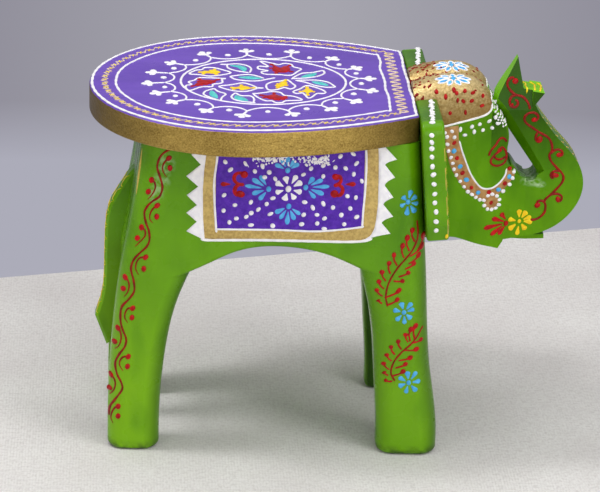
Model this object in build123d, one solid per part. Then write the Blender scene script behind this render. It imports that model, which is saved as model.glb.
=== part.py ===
from build123d import *

# Carved and painted wooden elephant stool. Sizes in millimetres, +Z up, floor at Z = 0.
# The carving is laid out with X along the body, the head towards +X, and X = 0 under the
# seat's widest line; every piece is moved by X_TO_ORIGIN when it is written, so that the
# origin lies under the middle of the whole object. +Y is the elephant's left side.

import math
import os

# ---- driving dimensions ----------------------------------------------------------------
SEAT_TOP = 254.0            # a ten-inch stool
SEAT_THICK = 19.0           # planed board
SEAT_REAR = 109.2           # widest line to the rounded rear end
SEAT_HALF_WIDTH = 106.9     # at the widest line
SEAT_FRONT = 115.0          # widest line to the straight front edge
SEAT_FRONT_HALF_WIDTH = 72.6
SEAT_EDGE_ROUND = 2.2
SEAT_CORNER = 4.0

BODY_TOP = SEAT_TOP - SEAT_THICK
CORE_HALF = 35.0            # half thickness of the middle plank
NECK_X = SEAT_FRONT         # front end of the core, where the head block is glued on
RUMP_TOP = (-73.0, BODY_TOP)

FACE_REAR = (-97.0, 67.5)   # X, Y of a flank's outer face at its rear end
FACE_FRONT = (136.0, 79.5)  # and at its front end
LEG_ROUND = 12.5            # carved rounding of a leg's outer corners
LEG_ROUND_INSIDE = 6.5
LEG_TAPER = 6.5             # how far the outside of a leg leans in at the foot
LEG_TAPER_Z = 150.0         # where that lean begins
FRONT_LEG_SPLAY = 10.0      # how far the inside of a front leg leans out at the foot
BELLY_ROUND = 3.0
FOOT_ROUND = 4.0
REAR_FOOT = (-96.3, -60.0)  # X of its rear and front
FRONT_FOOT = (93.6, 136.2)
FOOT_PLUMB = 10.0           # the last stretch of a leg stands plumb
REAR_HAUNCH = (-37.3, 139.0)   # X, Z where the rear leg's front edge leaves the belly
FRONT_HAUNCH = (78.6, 138.5)
BELLY_REAR = (-31.4, 142.0)    # X, Z of the ends of the belly's arch
BELLY_FRONT = (76.6, 143.4)
BELLY_LET_IN = (-58.0, 98.0)   # X of the belly board's ends inside the legs
SHOULDER_Z = 150.0          # the front leg leaves the ear's line here
RUMP_FOOT = (-86.8, 139.0)     # X, Z of the core's lowest rear corner
NECK_BOTTOM = 152.0         # underside of the neck

EAR_THICK = 15.5
EAR_RAKE = 4.6              # degrees that the ear boards lean back
EAR_OUTER = 88.0
EAR_BOTTOM = 167.0
EAR_TOP = 252.0
EAR_CORNER = 8.0
EAR_EDGE_ROUND = 2.0

HEAD_HALF = 35.0
CHEEK_START_X = 137.0       # where the cheeks begin to taper
CHEEK_END = (198.0, 12.8)   # X and half width where they meet the trunk
JAW_BEND = (143.6, 150.7)   # X, Z where the jaw turns down from the neck
CHIN = (179.2, 137.2)
CHIN_FRONT = (184.5, 145.0)
HEAD_STOCK_Z = 130.0        # underside of the head block before the jaw is sawn
FACE_X = 183.3              # flat front of the face
FACE_CORNER = 2.5
BROW_Z = 212.0              # above this the face curves back into the forehead
DOME_CENTRE = (145.0, 14.5, 242.5)
DOME_RADIUS = 22.2
DOME_FRONT_LENGTH = 27.5
DOME_REAR_LENGTH = 44.0
TRUNK_HALF = 12.8
TRUNK_BEVEL = 8.0
TRUNK_TIP_HALF = 3.0
TRUNK_TIP_Z = 274.0
TRUNK_TAPER_Z = 238.0
TRUNK_ELBOW = (175.0, 236.5)   # X, Z where the trunk comes nearest to the forehead
TRUNK_CROOK = (205.6, 192.0)   # X, Z at the foot of the gap behind the trunk
TRUNK_ROOT = (165.0, 146.0)    # X, Z of the trunk's lower corner inside the head
TRUNK_ROOT_TOP = 208.0
TRUNK_UNDER = (184.0, 143.2)   # X, Z where the trunk's underside leaves the face
TRUNK_NECK = (202.0, 242.0)    # X, Z under the finger
LIP_HALF = 6.5
TRUNK_REACH = 238.7         # foremost point of the trunk's bend

TAIL_HALF = 7.0
TAIL_PARE = 2.0
TAIL_ROOT = (-70.5, 192.0)     # X, Z of its upper front corner inside the rump
TAIL_TOP_X = -77.0
TAIL_HEEL = (-84.6, 147.0)
TUFT_REAR = (-105.4, 80.0)
TUFT_TIP = (-97.2, 57.6)
TUFT_FRONT = (-93.0, 62.5)

DOWEL_R = 4.0
CROSS_DOWELS = [(-46.0, 196.0), (24.0, 200.0), (78.0, 190.0)]   # X, Z through core and flank
CROSS_DOWEL_HALF = 20.0
SEAT_DOWELS = [(-46.0, 0.0), (94.0, 0.0), (24.0, 54.0), (24.0, -54.0)]   # X, Y
SEAT_DOWEL_UP = 11.0
SEAT_DOWEL_DOWN = 22.0
HEAD_DOWEL_R = 5.0
HEAD_DOWELS = [(-15.0, 186.0), (15.0, 186.0)]                   # Y, Z
HEAD_DOWEL_HALF = 26.0
EAR_DOWEL_R = 3.0
EAR_DOWELS = [190.0, 226.0]                                     # Z
EAR_DOWEL_HALF = 12.0
PIN_R = 1.0
PIN_HEAD_R = 2.2
PIN_HEAD_THICK = 1.0
PIN_LENGTH = 36.0
TAIL_PINS = [(-90.4, 172.0), (-96.8, 155.0)]                    # X, Z of their heads

X_TO_ORIGIN = (SEAT_REAR - TRUNK_REACH) / 2


# ---- helpers ---------------------------------------------------------------------------
def side_plate(outline, y_low, y_high):
    """Solid between two places across the body from a closed outline drawn in X and Z."""
    face = make_face(Plane.XZ * outline)
    return Pos(0, y_low, 0) * extrude(face, amount=y_high - y_low, dir=(0, 1, 0))


def rod(start, end, radius):
    """Round bar from one point to another."""
    start = Vector(*start)
    along = Vector(*end) - start
    return extrude(Plane(origin=start, z_dir=along) * Circle(radius), amount=along.length)


def on_left(piece):
    """The same piece on the other side of the body."""
    return mirror(piece, about=Plane.XZ)


def ear_rear_x(z):
    """X of the raked rear face of the ears, which the flanks' front ends follow."""
    return SEAT_FRONT + (SEAT_TOP - z) * math.tan(math.radians(EAR_RAKE))


def tall_edges(piece, least):
    """Edges that rise by more than a given height."""
    return [edge for edge in piece.edges() if edge.bounding_box().size.Z > least]


# ---- dowels and pins -------------------------------------------------------------------
def cross_dowel_bars():
    """Dowels that join each flank to the core."""
    bars = []
    for side in (-1, 1):
        for x, z in CROSS_DOWELS:
            low = side * CORE_HALF - CROSS_DOWEL_HALF
            bars.append(rod((x, low, z), (x, low + 2 * CROSS_DOWEL_HALF, z), DOWEL_R))
    return bars


def seat_dowel_bars():
    """Dowels that stand in the body and enter the seat's underside."""
    low, high = BODY_TOP - SEAT_DOWEL_DOWN, BODY_TOP + SEAT_DOWEL_UP
    return [rod((x, y, low), (x, y, high), DOWEL_R) for x, y in SEAT_DOWELS]


def head_dowel_bars():
    """Long dowels from the core's front end into the neck."""
    rear, front = NECK_X - HEAD_DOWEL_HALF, NECK_X + HEAD_DOWEL_HALF
    return [rod((rear, y, z), (front, y, z), HEAD_DOWEL_R) for y, z in HEAD_DOWELS]


def ear_dowel_bars():
    """Short dowels from each ear into the side of the head."""
    bars = []
    for side in (-1, 1):
        for z in EAR_DOWELS:
            x = ear_rear_x(z) + EAR_THICK / 2
            low = side * HEAD_HALF - EAR_DOWEL_HALF
            bars.append(rod((x, low, z), (x, low + 2 * EAR_DOWEL_HALF, z), EAR_DOWEL_R))
    return bars


def tail_pin_bars():
    """Wire pins driven through the tail's root into the rump, heads flush with the tail."""
    bars = []
    for x, z in TAIL_PINS:
        shank = rod((x, 0, z), (x + PIN_LENGTH, 0, z), PIN_R)
        head = rod((x, 0, z), (x + PIN_HEAD_THICK, 0, z), PIN_HEAD_R)
        bars.append(shank + head)
    return bars


# ---- seat ------------------------------------------------------------------------------
def seat_board():
    """Board with a half-elliptical rear and sides that curve in to a straight front edge."""
    w, f, fw = SEAT_HALF_WIDTH, SEAT_FRONT, SEAT_FRONT_HALF_WIDTH
    mid = (f / 2, w - (w - fw) / 4)        # the sides narrow with the square of the distance
    side = Spline((0, w), mid, (f, fw), tangents=[(1, 0), (f, -2 * (w - fw))])
    rear = EllipticalCenterArc((0, 0), SEAT_REAR, w, start_angle=90, arc_size=180)
    front = Line((f, fw), (f, -fw))
    face = make_face(Curve() + [side, front, mirror(side, about=Plane.XZ), rear])
    face = fillet(face.vertices().sort_by(Axis.X)[-2:], SEAT_CORNER)
    board = extrude(Pos(0, 0, BODY_TOP) * face, amount=SEAT_THICK)
    board = fillet(board.faces().sort_by(Axis.Z)[-1].edges(), SEAT_EDGE_ROUND)
    board = fillet(board.faces().sort_by(Axis.Z)[0].edges(), SEAT_EDGE_ROUND / 2)
    for bar in seat_dowel_bars():
        board -= bar
    return board


# ---- body ------------------------------------------------------------------------------
def rump_line():
    """Rear edge of the body and rear leg, from the foot up to the seat."""
    return Spline((REAR_FOOT[0], FOOT_PLUMB), (-95.9, 40), (-93.0, 88), (-85.9, 145), (-78.8, 184),
                  RUMP_TOP, tangents=[(0, 1), (0.1, 1)])


def belly_arch():
    """Underside of the body between the legs."""
    return Spline(BELLY_REAR, (-6.0, 154.2), (18.8, 158.1), (45.0, 155.4), BELLY_FRONT,
                  tangents=[(1, 0.5), (1, -0.5)])


def core_plank():
    """Middle plank: rump, arched underside, and the end grain that takes the head."""
    rump = Spline(RUMP_FOOT, (-78.8, 184), RUMP_TOP, tangents=[(0.16, 1), (0.1, 1)])
    outline = Curve() + [
        rump,
        Polyline(RUMP_TOP, (NECK_X, BODY_TOP), (NECK_X, NECK_BOTTOM), BELLY_FRONT),
        belly_arch(),
        Line(BELLY_REAR, RUMP_FOOT),
    ]
    return side_plate(outline, -CORE_HALF, CORE_HALF)


def body_core():
    """Core with its dowel holes and the groove for the tail."""
    core = core_plank()
    core -= side_plate(tail_outline(), -TAIL_HALF, TAIL_HALF)
    for bar in cross_dowel_bars() + seat_dowel_bars() + head_dowel_bars() + tail_pin_bars():
        core -= bar
    return core


def flank_stock(outline):
    """Part of a flank: an outline cut between the core and the flank's slanted outer face."""
    slope = (FACE_FRONT[1] - FACE_REAR[1]) / (FACE_FRONT[0] - FACE_REAR[0])
    rear, front = [(x, FACE_REAR[1] + slope * (x - FACE_REAR[0])) for x in (-120.0, 150.0)]
    plan = Polyline((rear[0], CORE_HALF), rear, front, (front[0], CORE_HALF), close=True)
    envelope = extrude(make_face(plan), amount=BODY_TOP)
    return side_plate(outline, CORE_HALF, front[1]) & envelope


def leg_stock(outline):
    """Stock for a leg, whose outer face leans in towards the foot."""
    run, rise = FACE_FRONT[0] - FACE_REAR[0], FACE_FRONT[1] - FACE_REAR[1]
    out = FACE_REAR[1] - 30 * rise / run
    foot = out - LEG_TAPER
    section = Curve() + [
        Polyline((foot, FOOT_PLUMB), (foot, 0), (0, 0), (0, BODY_TOP), (out, BODY_TOP),
                 (out, LEG_TAPER_Z)),
        Spline((out, LEG_TAPER_Z), (foot, FOOT_PLUMB), tangents=[(0, -1), (0, -1)]),
    ]
    start = Plane(origin=(FACE_REAR[0] - 30, 0, 0), x_dir=(0, 1, 0), z_dir=(1, 0, 0))
    leaning = extrude(start * make_face(section), amount=run + 60, dir=(run, rise, 0))
    return flank_stock(outline) & leaning


def rounded_leg(leg):
    """Rounds a leg's corners as the rasp leaves them, and the edge of its foot."""
    middle = leg.bounding_box().center().Y
    outer = [edge for edge in tall_edges(leg, FOOT_PLUMB / 2) if edge.center().Y > middle]
    leg = fillet(outer, LEG_ROUND)
    inner = [edge for edge in tall_edges(leg, FOOT_PLUMB / 2)
             if edge.center().Y < CORE_HALF + FRONT_LEG_SPLAY + 0.5]
    leg = fillet(inner, LEG_ROUND_INSIDE)
    return fillet(leg.faces().sort_by(Axis.Z)[0].edges(), FOOT_ROUND)


def rear_leg():
    """Rear leg, which runs up into the rump."""
    rear, front = REAR_FOOT
    top = (REAR_HAUNCH[0] + 0.45 * (BODY_TOP - REAR_HAUNCH[1]), BODY_TOP)
    outline = Curve() + [
        rump_line(),
        Polyline(RUMP_TOP, top, REAR_HAUNCH),
        Spline(REAR_HAUNCH, (-49.2, 108), (-56.8, 66), (front, FOOT_PLUMB),
               tangents=[(-0.45, -1), (0, -1)]),
        Polyline((front, FOOT_PLUMB), (front, 0), (rear, 0), (rear, FOOT_PLUMB)),
    ]
    return leg_stock(outline)


def front_leg():
    """Front leg, whose upper front end leans back with the ear."""
    rake = (math.tan(math.radians(EAR_RAKE)), -1)
    rear, front = FRONT_FOOT
    bend = (ear_rear_x(SHOULDER_Z), SHOULDER_Z)
    top = (FRONT_HAUNCH[0] - 0.25 * (BODY_TOP - FRONT_HAUNCH[1]), BODY_TOP)
    outline = Curve() + [
        Polyline(top, (ear_rear_x(BODY_TOP), BODY_TOP), bend),
        Spline(bend, (125.8, 112), (130.2, 62), (front, FOOT_PLUMB), tangents=[rake, (0, -1)]),
        Polyline((front, FOOT_PLUMB), (front, 0), (rear, 0), (rear, FOOT_PLUMB)),
        Spline((rear, FOOT_PLUMB), (91.4, 52), (87.0, 101), FRONT_HAUNCH,
               tangents=[(0, 1), (-0.25, 1)]),
        Line(FRONT_HAUNCH, top),
    ]
    leg = leg_stock(outline)
    foot_y = CORE_HALF + FRONT_LEG_SPLAY
    lean = Polyline((CORE_HALF, LEG_TAPER_Z - 5), (foot_y, FOOT_PLUMB), (foot_y, 0), (CORE_HALF, 0), close=True)
    wedge = extrude(make_face(Plane.YZ * lean), amount=front - rear + 40, dir=(1, 0, 0))
    return leg - Pos(rear - 20, 0, 0) * wedge


def belly_board():
    """Side of the body over the arch, let into both legs."""
    rear, front = BELLY_LET_IN
    outline = Curve() + [
        Polyline(BELLY_REAR, (rear, BELLY_REAR[1] - 13), (rear, BODY_TOP), (front, BODY_TOP),
                 (front, BELLY_FRONT[1] - 9), BELLY_FRONT),
        belly_arch(),
    ]
    board = flank_stock(outline)
    low = [edge for edge in board.edges() if edge.center().Z < 165
           and edge.center().Y > CORE_HALF + 20 and edge.bounding_box().size.X > 15]
    return fillet(low, BELLY_ROUND)


def left_flank():
    """Left flank with both its legs and the dowel holes."""
    flank = rounded_leg(rear_leg()) + rounded_leg(front_leg()) + belly_board()
    for bar in cross_dowel_bars() + seat_dowel_bars():
        flank -= bar
    return flank


# ---- head and trunk --------------------------------------------------------------------
def head_section(z, front, corner):
    """Level section of the head: straight at the neck, tapering cheeks, rounded front corners."""
    slope = (CHEEK_END[1] - HEAD_HALF) / (CHEEK_END[0] - CHEEK_START_X)
    half = HEAD_HALF + slope * (front - CHEEK_START_X)
    side = [(NECK_X, HEAD_HALF), (CHEEK_START_X, HEAD_HALF), (front, half)]
    far = [(x, -y) for x, y in reversed(side)]
    face = make_face(Polyline(*side, *far, close=True))
    face = fillet(face.vertices().sort_by(Axis.X)[-2:], corner)
    return Pos(0, 0, z) * face


def head_block():
    """Neck, face and cheeks, cut off below along the jaw."""
    block = extrude(head_section(HEAD_STOCK_Z, FACE_X, FACE_CORNER), amount=BROW_Z - HEAD_STOCK_Z)
    block += loft([
        head_section(BROW_Z, FACE_X, FACE_CORNER),
        head_section(BROW_Z + 16, FACE_X - 0.8, 4.0),
        head_section(DOME_CENTRE[2], FACE_X - 11.0, 12.0),
    ])
    rear, front, low = NECK_X - 15, FACE_X + 15, HEAD_STOCK_Z - 10
    below_jaw = Curve() + [
        Line((rear, NECK_BOTTOM), JAW_BEND),
        Spline(JAW_BEND, (154.5, 146.8), (165.4, 142.0), CHIN, tangents=[(1, -0.15), (1, -0.35)]),
        Polyline(CHIN, CHIN_FRONT, (front, CHIN_FRONT[1]), (front, low), (rear, low),
                 (rear, NECK_BOTTOM)),
    ]
    return block - side_plate(below_jaw, -HEAD_HALF - 15, HEAD_HALF + 15)


def dome(side):
    """One of the two swellings of the forehead: an egg turned about a level axis."""
    x, y, z = DOME_CENTRE
    front = EllipticalCenterArc((0, 0), DOME_FRONT_LENGTH, DOME_RADIUS, arc_size=90)
    rear = EllipticalCenterArc((0, 0), DOME_REAR_LENGTH, DOME_RADIUS, 90, arc_size=90)
    axis_line = Line((-DOME_REAR_LENGTH, 0), (DOME_FRONT_LENGTH, 0))
    egg = revolve(make_face(Curve() + [front, rear, axis_line]), Axis.X)
    behind_seat_edge = Pos(NECK_X - x - 50, 0, 0) * Box(100, 100, 100)
    return Pos(x, side * y, z) * (egg - behind_seat_edge)


def cheek_envelope():
    """Plan outline of the head and cheeks, which clips the domes."""
    side = [(NECK_X, HEAD_HALF), (CHEEK_START_X, HEAD_HALF), CHEEK_END]
    far = [(x, -y) for x, y in reversed(side)]
    return extrude(make_face(Polyline(*side, *far, close=True)), amount=300)


def trunk_outline():
    """Side outline of the trunk: root, forward bend, raised end, finger and tip."""
    return Curve() + [
        Line(TRUNK_ROOT, TRUNK_UNDER),
        Spline(TRUNK_UNDER, (200.0, 144.2), (218.3, 150.6), (231.0, 162.0), (TRUNK_REACH, 182.0),
               (233.2, 200.9), (218.7, 217.8), (209.4, 229.8), TRUNK_NECK,
               tangents=[(1, -0.05), (-0.5, 1)]),
        Polyline(TRUNK_NECK, (208.2, 250.4), (193.6, 252.7), (189.5, TRUNK_TIP_Z)),
        Spline((189.5, TRUNK_TIP_Z), (183.0, 261.5), (177.2, 250.0), TRUNK_ELBOW,
               tangents=[(-0.5, -1), (0.2, -1)]),
        Line(TRUNK_ELBOW, TRUNK_CROOK),
        Spline(TRUNK_CROOK, (204.8, 187.6), (200.2, 185.5), (193.3, 190.2), (186.5, 197.2),
               (180.0, TRUNK_ROOT_TOP), tangents=[(0.2, -1), (-0.2, 1)]),
        Polyline((180.0, TRUNK_ROOT_TOP), (TRUNK_ROOT[0], TRUNK_ROOT_TOP), TRUNK_ROOT),
    ]


def trunk_bevel():
    """Wedge pared off the trunk's edge towards the forehead, narrowing downwards."""
    top, foot = Vector(TRUNK_ELBOW[0], 0, TRUNK_ELBOW[1]), Vector(TRUNK_CROOK[0], 0, TRUNK_CROOK[1])
    down = (foot - top).normalized()
    ends = []
    for place, width in ((top - down * 7, TRUNK_BEVEL), (foot + down * 2, TRUNK_BEVEL * 0.6)):
        plane = Plane(origin=place, x_dir=(0, 1, 0), z_dir=down)
        corner = Polyline((TRUNK_HALF - width - 2, -2), (TRUNK_HALF + 2, width + 2),
                          (TRUNK_HALF + 2, -2), close=True)
        ends.append(plane * make_face(corner))
    return loft(ends, ruled=True)


def trunk():
    """Trunk slab with its inner edges bevelled and its tip pared to a narrow ridge."""
    slab = side_plate(trunk_outline(), -TRUNK_HALF, TRUNK_HALF)
    bevel = trunk_bevel()
    slab = slab - bevel - on_left(bevel)
    pare = Polyline((TRUNK_TIP_HALF, TRUNK_TIP_Z + 1), (TRUNK_HALF, TRUNK_TAPER_Z),
                    (TRUNK_HALF + 5, TRUNK_TAPER_Z), (TRUNK_HALF + 5, TRUNK_TIP_Z + 1), close=True)
    wedge = Pos(170, 0, 0) * extrude(make_face(Plane.YZ * pare), amount=30, dir=(1, 0, 0))
    return slab - wedge - on_left(wedge)


def cheeks():
    """Taper from the face to the root of the trunk."""
    outline = Curve() + [
        Polyline(TRUNK_ROOT, (184.0, 143.4), (CHEEK_END[0], 144.2), (CHEEK_END[0], 187.2)),
        Spline((CHEEK_END[0], 187.2), (193.3, 189.9), (186.5, 196.9), (180.0, 207.0),
               tangents=[(-1, 0.6), (-0.2, 1)]),
        Polyline((180.0, 207.0), (TRUNK_ROOT[0], 207.0), TRUNK_ROOT),
    ]
    return side_plate(outline, -HEAD_HALF, HEAD_HALF) & cheek_envelope()


def lower_lip():
    """Narrow lip under the trunk, cut away from it by the mouth."""
    outline = Polyline((TRUNK_ROOT[0], 147.0), (180.0, 143.4), (200.0, 142.6), (213.4, 143.1),
                       (213.4, 139.8), (200.0, 139.4), (172.0, 141.0), close=True)
    return side_plate(outline, -LIP_HALF, LIP_HALF)


def head_and_trunk():
    """One carved block from the neck to the tip of the trunk."""
    domes = (dome(-1) + dome(1)) & cheek_envelope()
    head = head_block() + domes + trunk() + cheeks() + lower_lip()
    for bar in head_dowel_bars() + ear_dowel_bars():
        head -= bar
    return head


# ---- ears and tail ---------------------------------------------------------------------
def left_ear():
    """Upright board across the body, leaning back, with a rounded outer top corner."""
    rake = math.radians(EAR_RAKE)
    board_plane = Plane(origin=(SEAT_FRONT, 0, SEAT_TOP), x_dir=(0, 1, 0),
                        z_dir=(math.cos(rake), 0, math.sin(rake)))
    low, high = [(z - SEAT_TOP) / math.cos(rake) for z in (EAR_BOTTOM, EAR_TOP)]
    outline = Polyline((HEAD_HALF, low), (EAR_OUTER - 4, low), (EAR_OUTER, low + 12),
                       (EAR_OUTER, high), (HEAD_HALF, high), close=True)
    face = make_face(outline)
    face = fillet(face.vertices().filter_by(lambda v: v.X > EAR_OUTER - 1 and v.Y > high - 1),
                  EAR_CORNER)
    ear = extrude(board_plane * face, amount=EAR_THICK)
    rim = [edge for edge in ear.edges() if edge.center().Y > HEAD_HALF + 1
           and edge.bounding_box().size.Y + edge.bounding_box().size.Z > EAR_THICK / 2]
    ear = fillet(rim, EAR_EDGE_ROUND)
    for bar in ear_dowel_bars():
        ear -= bar
    return ear


def tail_outline():
    """Side outline of the tail: root let into the rump, swelling, and pointed tuft."""
    return Curve() + [
        Line(TAIL_ROOT, (TAIL_TOP_X, TAIL_ROOT[1])),
        Spline((TAIL_TOP_X, TAIL_ROOT[1]), (-86.2, 179.6), (-94.4, 165.4), (-98.3, 142.0),
               (-98.8, 118.0), (-100.6, 96.0), TUFT_REAR, tangents=[(-1, -0.75), (-0.4, -1)]),
        Polyline(TUFT_REAR, TUFT_TIP, TUFT_FRONT),
        Spline(TUFT_FRONT, (-86.0, 84.0), (-83.0, 118.0), TAIL_HEEL,
               tangents=[(0.6, 1), (-0.1, 1)]),
        Polyline(TAIL_HEEL, (-78.0, TAIL_HEEL[1]), TAIL_ROOT),
    ]


def tail():
    """Tail slat with pared edges and its pin holes."""
    slat = side_plate(tail_outline(), -TAIL_HALF, TAIL_HALF)
    long_edges = [edge for edge in tall_edges(slat, 2 * TAIL_HALF)
                  if edge.center().X < TAIL_HEEL[0] + 1 and edge.bounding_box().size.Y < 1]
    slat = chamfer(long_edges, TAIL_PARE)
    for bar in tail_pin_bars():
        slat -= bar
    return slat


# ---- write the pieces ------------------------------------------------------------------
def write(name, *solids):
    """Writes one node, moved so that the origin is under the middle of the object."""
    shape = Compound(children=[Pos(X_TO_ORIGIN, 0, 0) * solid for solid in solids])
    if len(solids) == 1:
        shape = Pos(X_TO_ORIGIN, 0, 0) * solids[0]
    export_step(shape, os.path.join("parts", name + ".step"))


def main():
    """Builds every piece and writes its file."""
    os.makedirs("parts", exist_ok=True)
    flank = left_flank()
    ear = left_ear()
    write("seat_board", seat_board())
    write("body_core", body_core())
    write("left_flank", flank)
    write("right_flank", on_left(flank))
    write("head_and_trunk", head_and_trunk())
    write("left_ear", ear)
    write("right_ear", on_left(ear))
    write("tail", tail())
    write("flank_dowels", *cross_dowel_bars())
    write("seat_dowels", *seat_dowel_bars())
    write("head_dowels", *head_dowel_bars())
    write("ear_dowels", *ear_dowel_bars())
    write("tail_pins", *tail_pin_bars())


if __name__ == "__main__":
    main()
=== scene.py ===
import logging
import math
from dataclasses import dataclass
from enum import Enum
from typing import Callable, Optional, Sequence

import bpy
import numpy as np
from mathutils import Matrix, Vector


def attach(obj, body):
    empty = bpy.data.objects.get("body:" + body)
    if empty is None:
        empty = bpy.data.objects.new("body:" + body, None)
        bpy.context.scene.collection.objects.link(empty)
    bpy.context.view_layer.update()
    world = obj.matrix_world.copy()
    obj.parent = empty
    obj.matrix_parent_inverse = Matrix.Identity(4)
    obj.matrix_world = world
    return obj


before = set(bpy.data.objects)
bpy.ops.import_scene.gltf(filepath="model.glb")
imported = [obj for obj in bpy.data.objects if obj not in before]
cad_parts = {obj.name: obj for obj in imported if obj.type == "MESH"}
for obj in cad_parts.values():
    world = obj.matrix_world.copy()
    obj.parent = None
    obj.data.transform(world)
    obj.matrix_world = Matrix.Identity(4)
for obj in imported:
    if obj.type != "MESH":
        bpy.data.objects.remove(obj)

LOG = logging.getLogger("elephant_stool")
MM = 0.001
EMBED = 0.35                 # how far the rim of a paint stroke dips into the wood
FAR = 600.0                  # depth from which a surface is cast, in mm
STEEPEST = 2.5               # slope at which paint stops following the wood
SPREADS = 60                 # grid cells by which known depths are spread outwards
FINE_STEP = 0.5              # spacing of closely laid points, in mm
SWELL, RING_SWELL = 1.6, 9.0   # length in mm over which an open or a closed line swells and thins
DAB_RADIUS = 1.2             # radius of the dab that has the given height
DROP_AT = 0.72               # where the round part of a drop has its middle
PIN_AT, PIN_NECK = 0.80, 0.38   # the same for a pin, and its share of width before that
ENAMEL_SPECULAR = 0.22       # weak enough to keep the colours deep
Colour = tuple[float, float, float]
Socket = bpy.types.NodeSocket
Material = bpy.types.Material
Points = Sequence[tuple[float, float]]
Place = tuple[float, float, float]


# ---- choices ------------------------------------------------------------------------
class Facing(Enum):
    """Which way a painted face looks: (first axis across, second axis across, depth axis, outward sign)."""

    RIGHT = (0, 2, 1, -1)
    TOP = (0, 1, 2, 1)
    FRONT = (1, 2, 0, 1)
    REAR = (1, 2, 0, -1)


class Tip(Enum):
    """How a brush stroke's width runs from its start to its end."""

    EVEN = "even"
    BULB = "bulb"
    LEAF = "leaf"
    TAIL = "tail"
    GROW = "grow"
    PIN = "pin"


class Slot(Enum):
    """Material slot names that each paint layer keeps with it."""

    BODY = "green_enamel"
    SEAT = "seat_enamel"


def srgb(red: int, green: int, blue: int) -> Colour:
    """Linear colour of a screen colour given in steps of 0 to 255."""
    parts = [c / 255.0 for c in (red, green, blue)]
    return tuple(c / 12.92 if c <= 0.04045 else ((c + 0.055) / 1.055) ** 2.4 for c in parts)


# ---- node wiring --------------------------------------------------------------------
class Wiring:
    """Builds the nodes of one material in plain steps."""

    def __init__(self, name: str) -> None:
        """Makes an empty material with one Principled shader.

        Args:
            name: what the material is called.
        """
        self.material = bpy.data.materials.new(name)
        self.material.use_nodes = True
        self.tree = self.material.node_tree
        self.shader = self.tree.nodes["Principled BSDF"]
        self.place = self.node("ShaderNodeTexCoord").outputs["Object"]
        split = self.node("ShaderNodeSeparateXYZ")
        self.join(self.place, split.inputs[0])
        self.x, self.y, self.z = split.outputs

    def node(self, kind: str, **settings: object) -> bpy.types.Node:
        """Adds a node and sets its plain attributes.

        Args:
            kind: Blender's name of the node type.
            settings: its plain attributes.

        Returns:
            The node.
        """
        made = self.tree.nodes.new(kind)
        for key, value in settings.items():
            setattr(made, key, value)
        return made

    def join(self, source: Socket, target: Socket) -> None:
        """Links two sockets."""
        self.tree.links.new(source, target)

    def feed(self, target: Socket, value: object) -> None:
        """Links a socket or sets a plain value.

        Args:
            target: the input.
            value: a socket, a number or a colour.
        """
        if isinstance(value, Socket):
            self.join(value, target)
        else:
            target.default_value = value

    def noise(self, scale: float, detail: float = 3.0, stretch: Colour = (1.0, 1.0, 1.0),
              rough: float = 0.55) -> Socket:
        """Noise from 0 to 1 over the piece.

        Args:
            scale: features per metre.
            detail: number of finer layers.
            stretch: scale of each axis before the noise, to draw it out into streaks.
            rough: strength of the finer layers.

        Returns:
            The noise value's socket.
        """
        mapping = self.node("ShaderNodeMapping")
        self.join(self.place, mapping.inputs["Vector"])
        mapping.inputs["Scale"].default_value = stretch
        noise = self.node("ShaderNodeTexNoise")
        self.join(mapping.outputs[0], noise.inputs["Vector"])
        noise.inputs["Scale"].default_value = scale
        noise.inputs["Detail"].default_value = detail
        noise.inputs["Roughness"].default_value = rough
        return noise.outputs[0]

    def math(self, operation: str, first: object, second: object = 0.0,
             clamp: bool = False) -> Socket:
        """One step of arithmetic.

        Args:
            operation: Blender's name of it.
            first, second: sockets or numbers.
            clamp: whether the result stays from 0 to 1.

        Returns:
            The result.
        """
        step = self.node("ShaderNodeMath", operation=operation, use_clamp=clamp)
        self.feed(step.inputs[0], first)
        self.feed(step.inputs[1], second)
        return step.outputs[0]

    def span(self, value: object, low: float, high: float, to_low: float = 0.0,
             to_high: float = 1.0) -> Socket:
        """Maps a range of values to another range and holds it there.

        Args:
            value: a socket or a number.
            low, high: the range it comes from.
            to_low, to_high: the range it goes to.

        Returns:
            The result.
        """
        step = self.node("ShaderNodeMapRange", clamp=True)
        self.feed(step.inputs["Value"], value)
        step.inputs["From Min"].default_value = low
        step.inputs["From Max"].default_value = high
        step.inputs["To Min"].default_value = to_low
        step.inputs["To Max"].default_value = to_high
        return step.outputs["Result"]

    def blend(self, share: object, first: object, second: object) -> Socket:
        """Mixes two colours by a share from 0 to 1.

        Args:
            share: how much of the second.
            first, second: the colours.

        Returns:
            The mixed colour.
        """
        mix = self.node("ShaderNodeMix", data_type="RGBA")
        self.feed(mix.inputs[0], share)
        for socket, value in ((mix.inputs[6], first), (mix.inputs[7], second)):
            self.feed(socket, value if isinstance(value, Socket) else (*value, 1.0))
        return mix.outputs[2]

    def either(self, share: object, first: object, second: object) -> Socket:
        """Mixes two plain values by a share from 0 to 1.

        Args:
            share: how much of the second.
            first, second: the values.

        Returns:
            The mixed value.
        """
        mix = self.node("ShaderNodeMix", data_type="FLOAT")
        self.feed(mix.inputs[0], share)
        self.feed(mix.inputs[2], first)
        self.feed(mix.inputs[3], second)
        return mix.outputs[0]

    def relief(self, height: object, strength: float, distance: float) -> None:
        """Adds a bump to the shader, after any bump that is already there.

        Args:
            height: a socket or a number.
            strength: from 0 to 1.
            distance: full depth in metres.
        """
        bump = self.node("ShaderNodeBump")
        self.feed(bump.inputs["Height"], height)
        bump.inputs["Strength"].default_value = strength
        bump.inputs["Distance"].default_value = distance
        normal = self.shader.inputs["Normal"]
        if normal.links:
            self.join(normal.links[0].from_socket, bump.inputs["Normal"])
        self.join(bump.outputs[0], normal)


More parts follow.
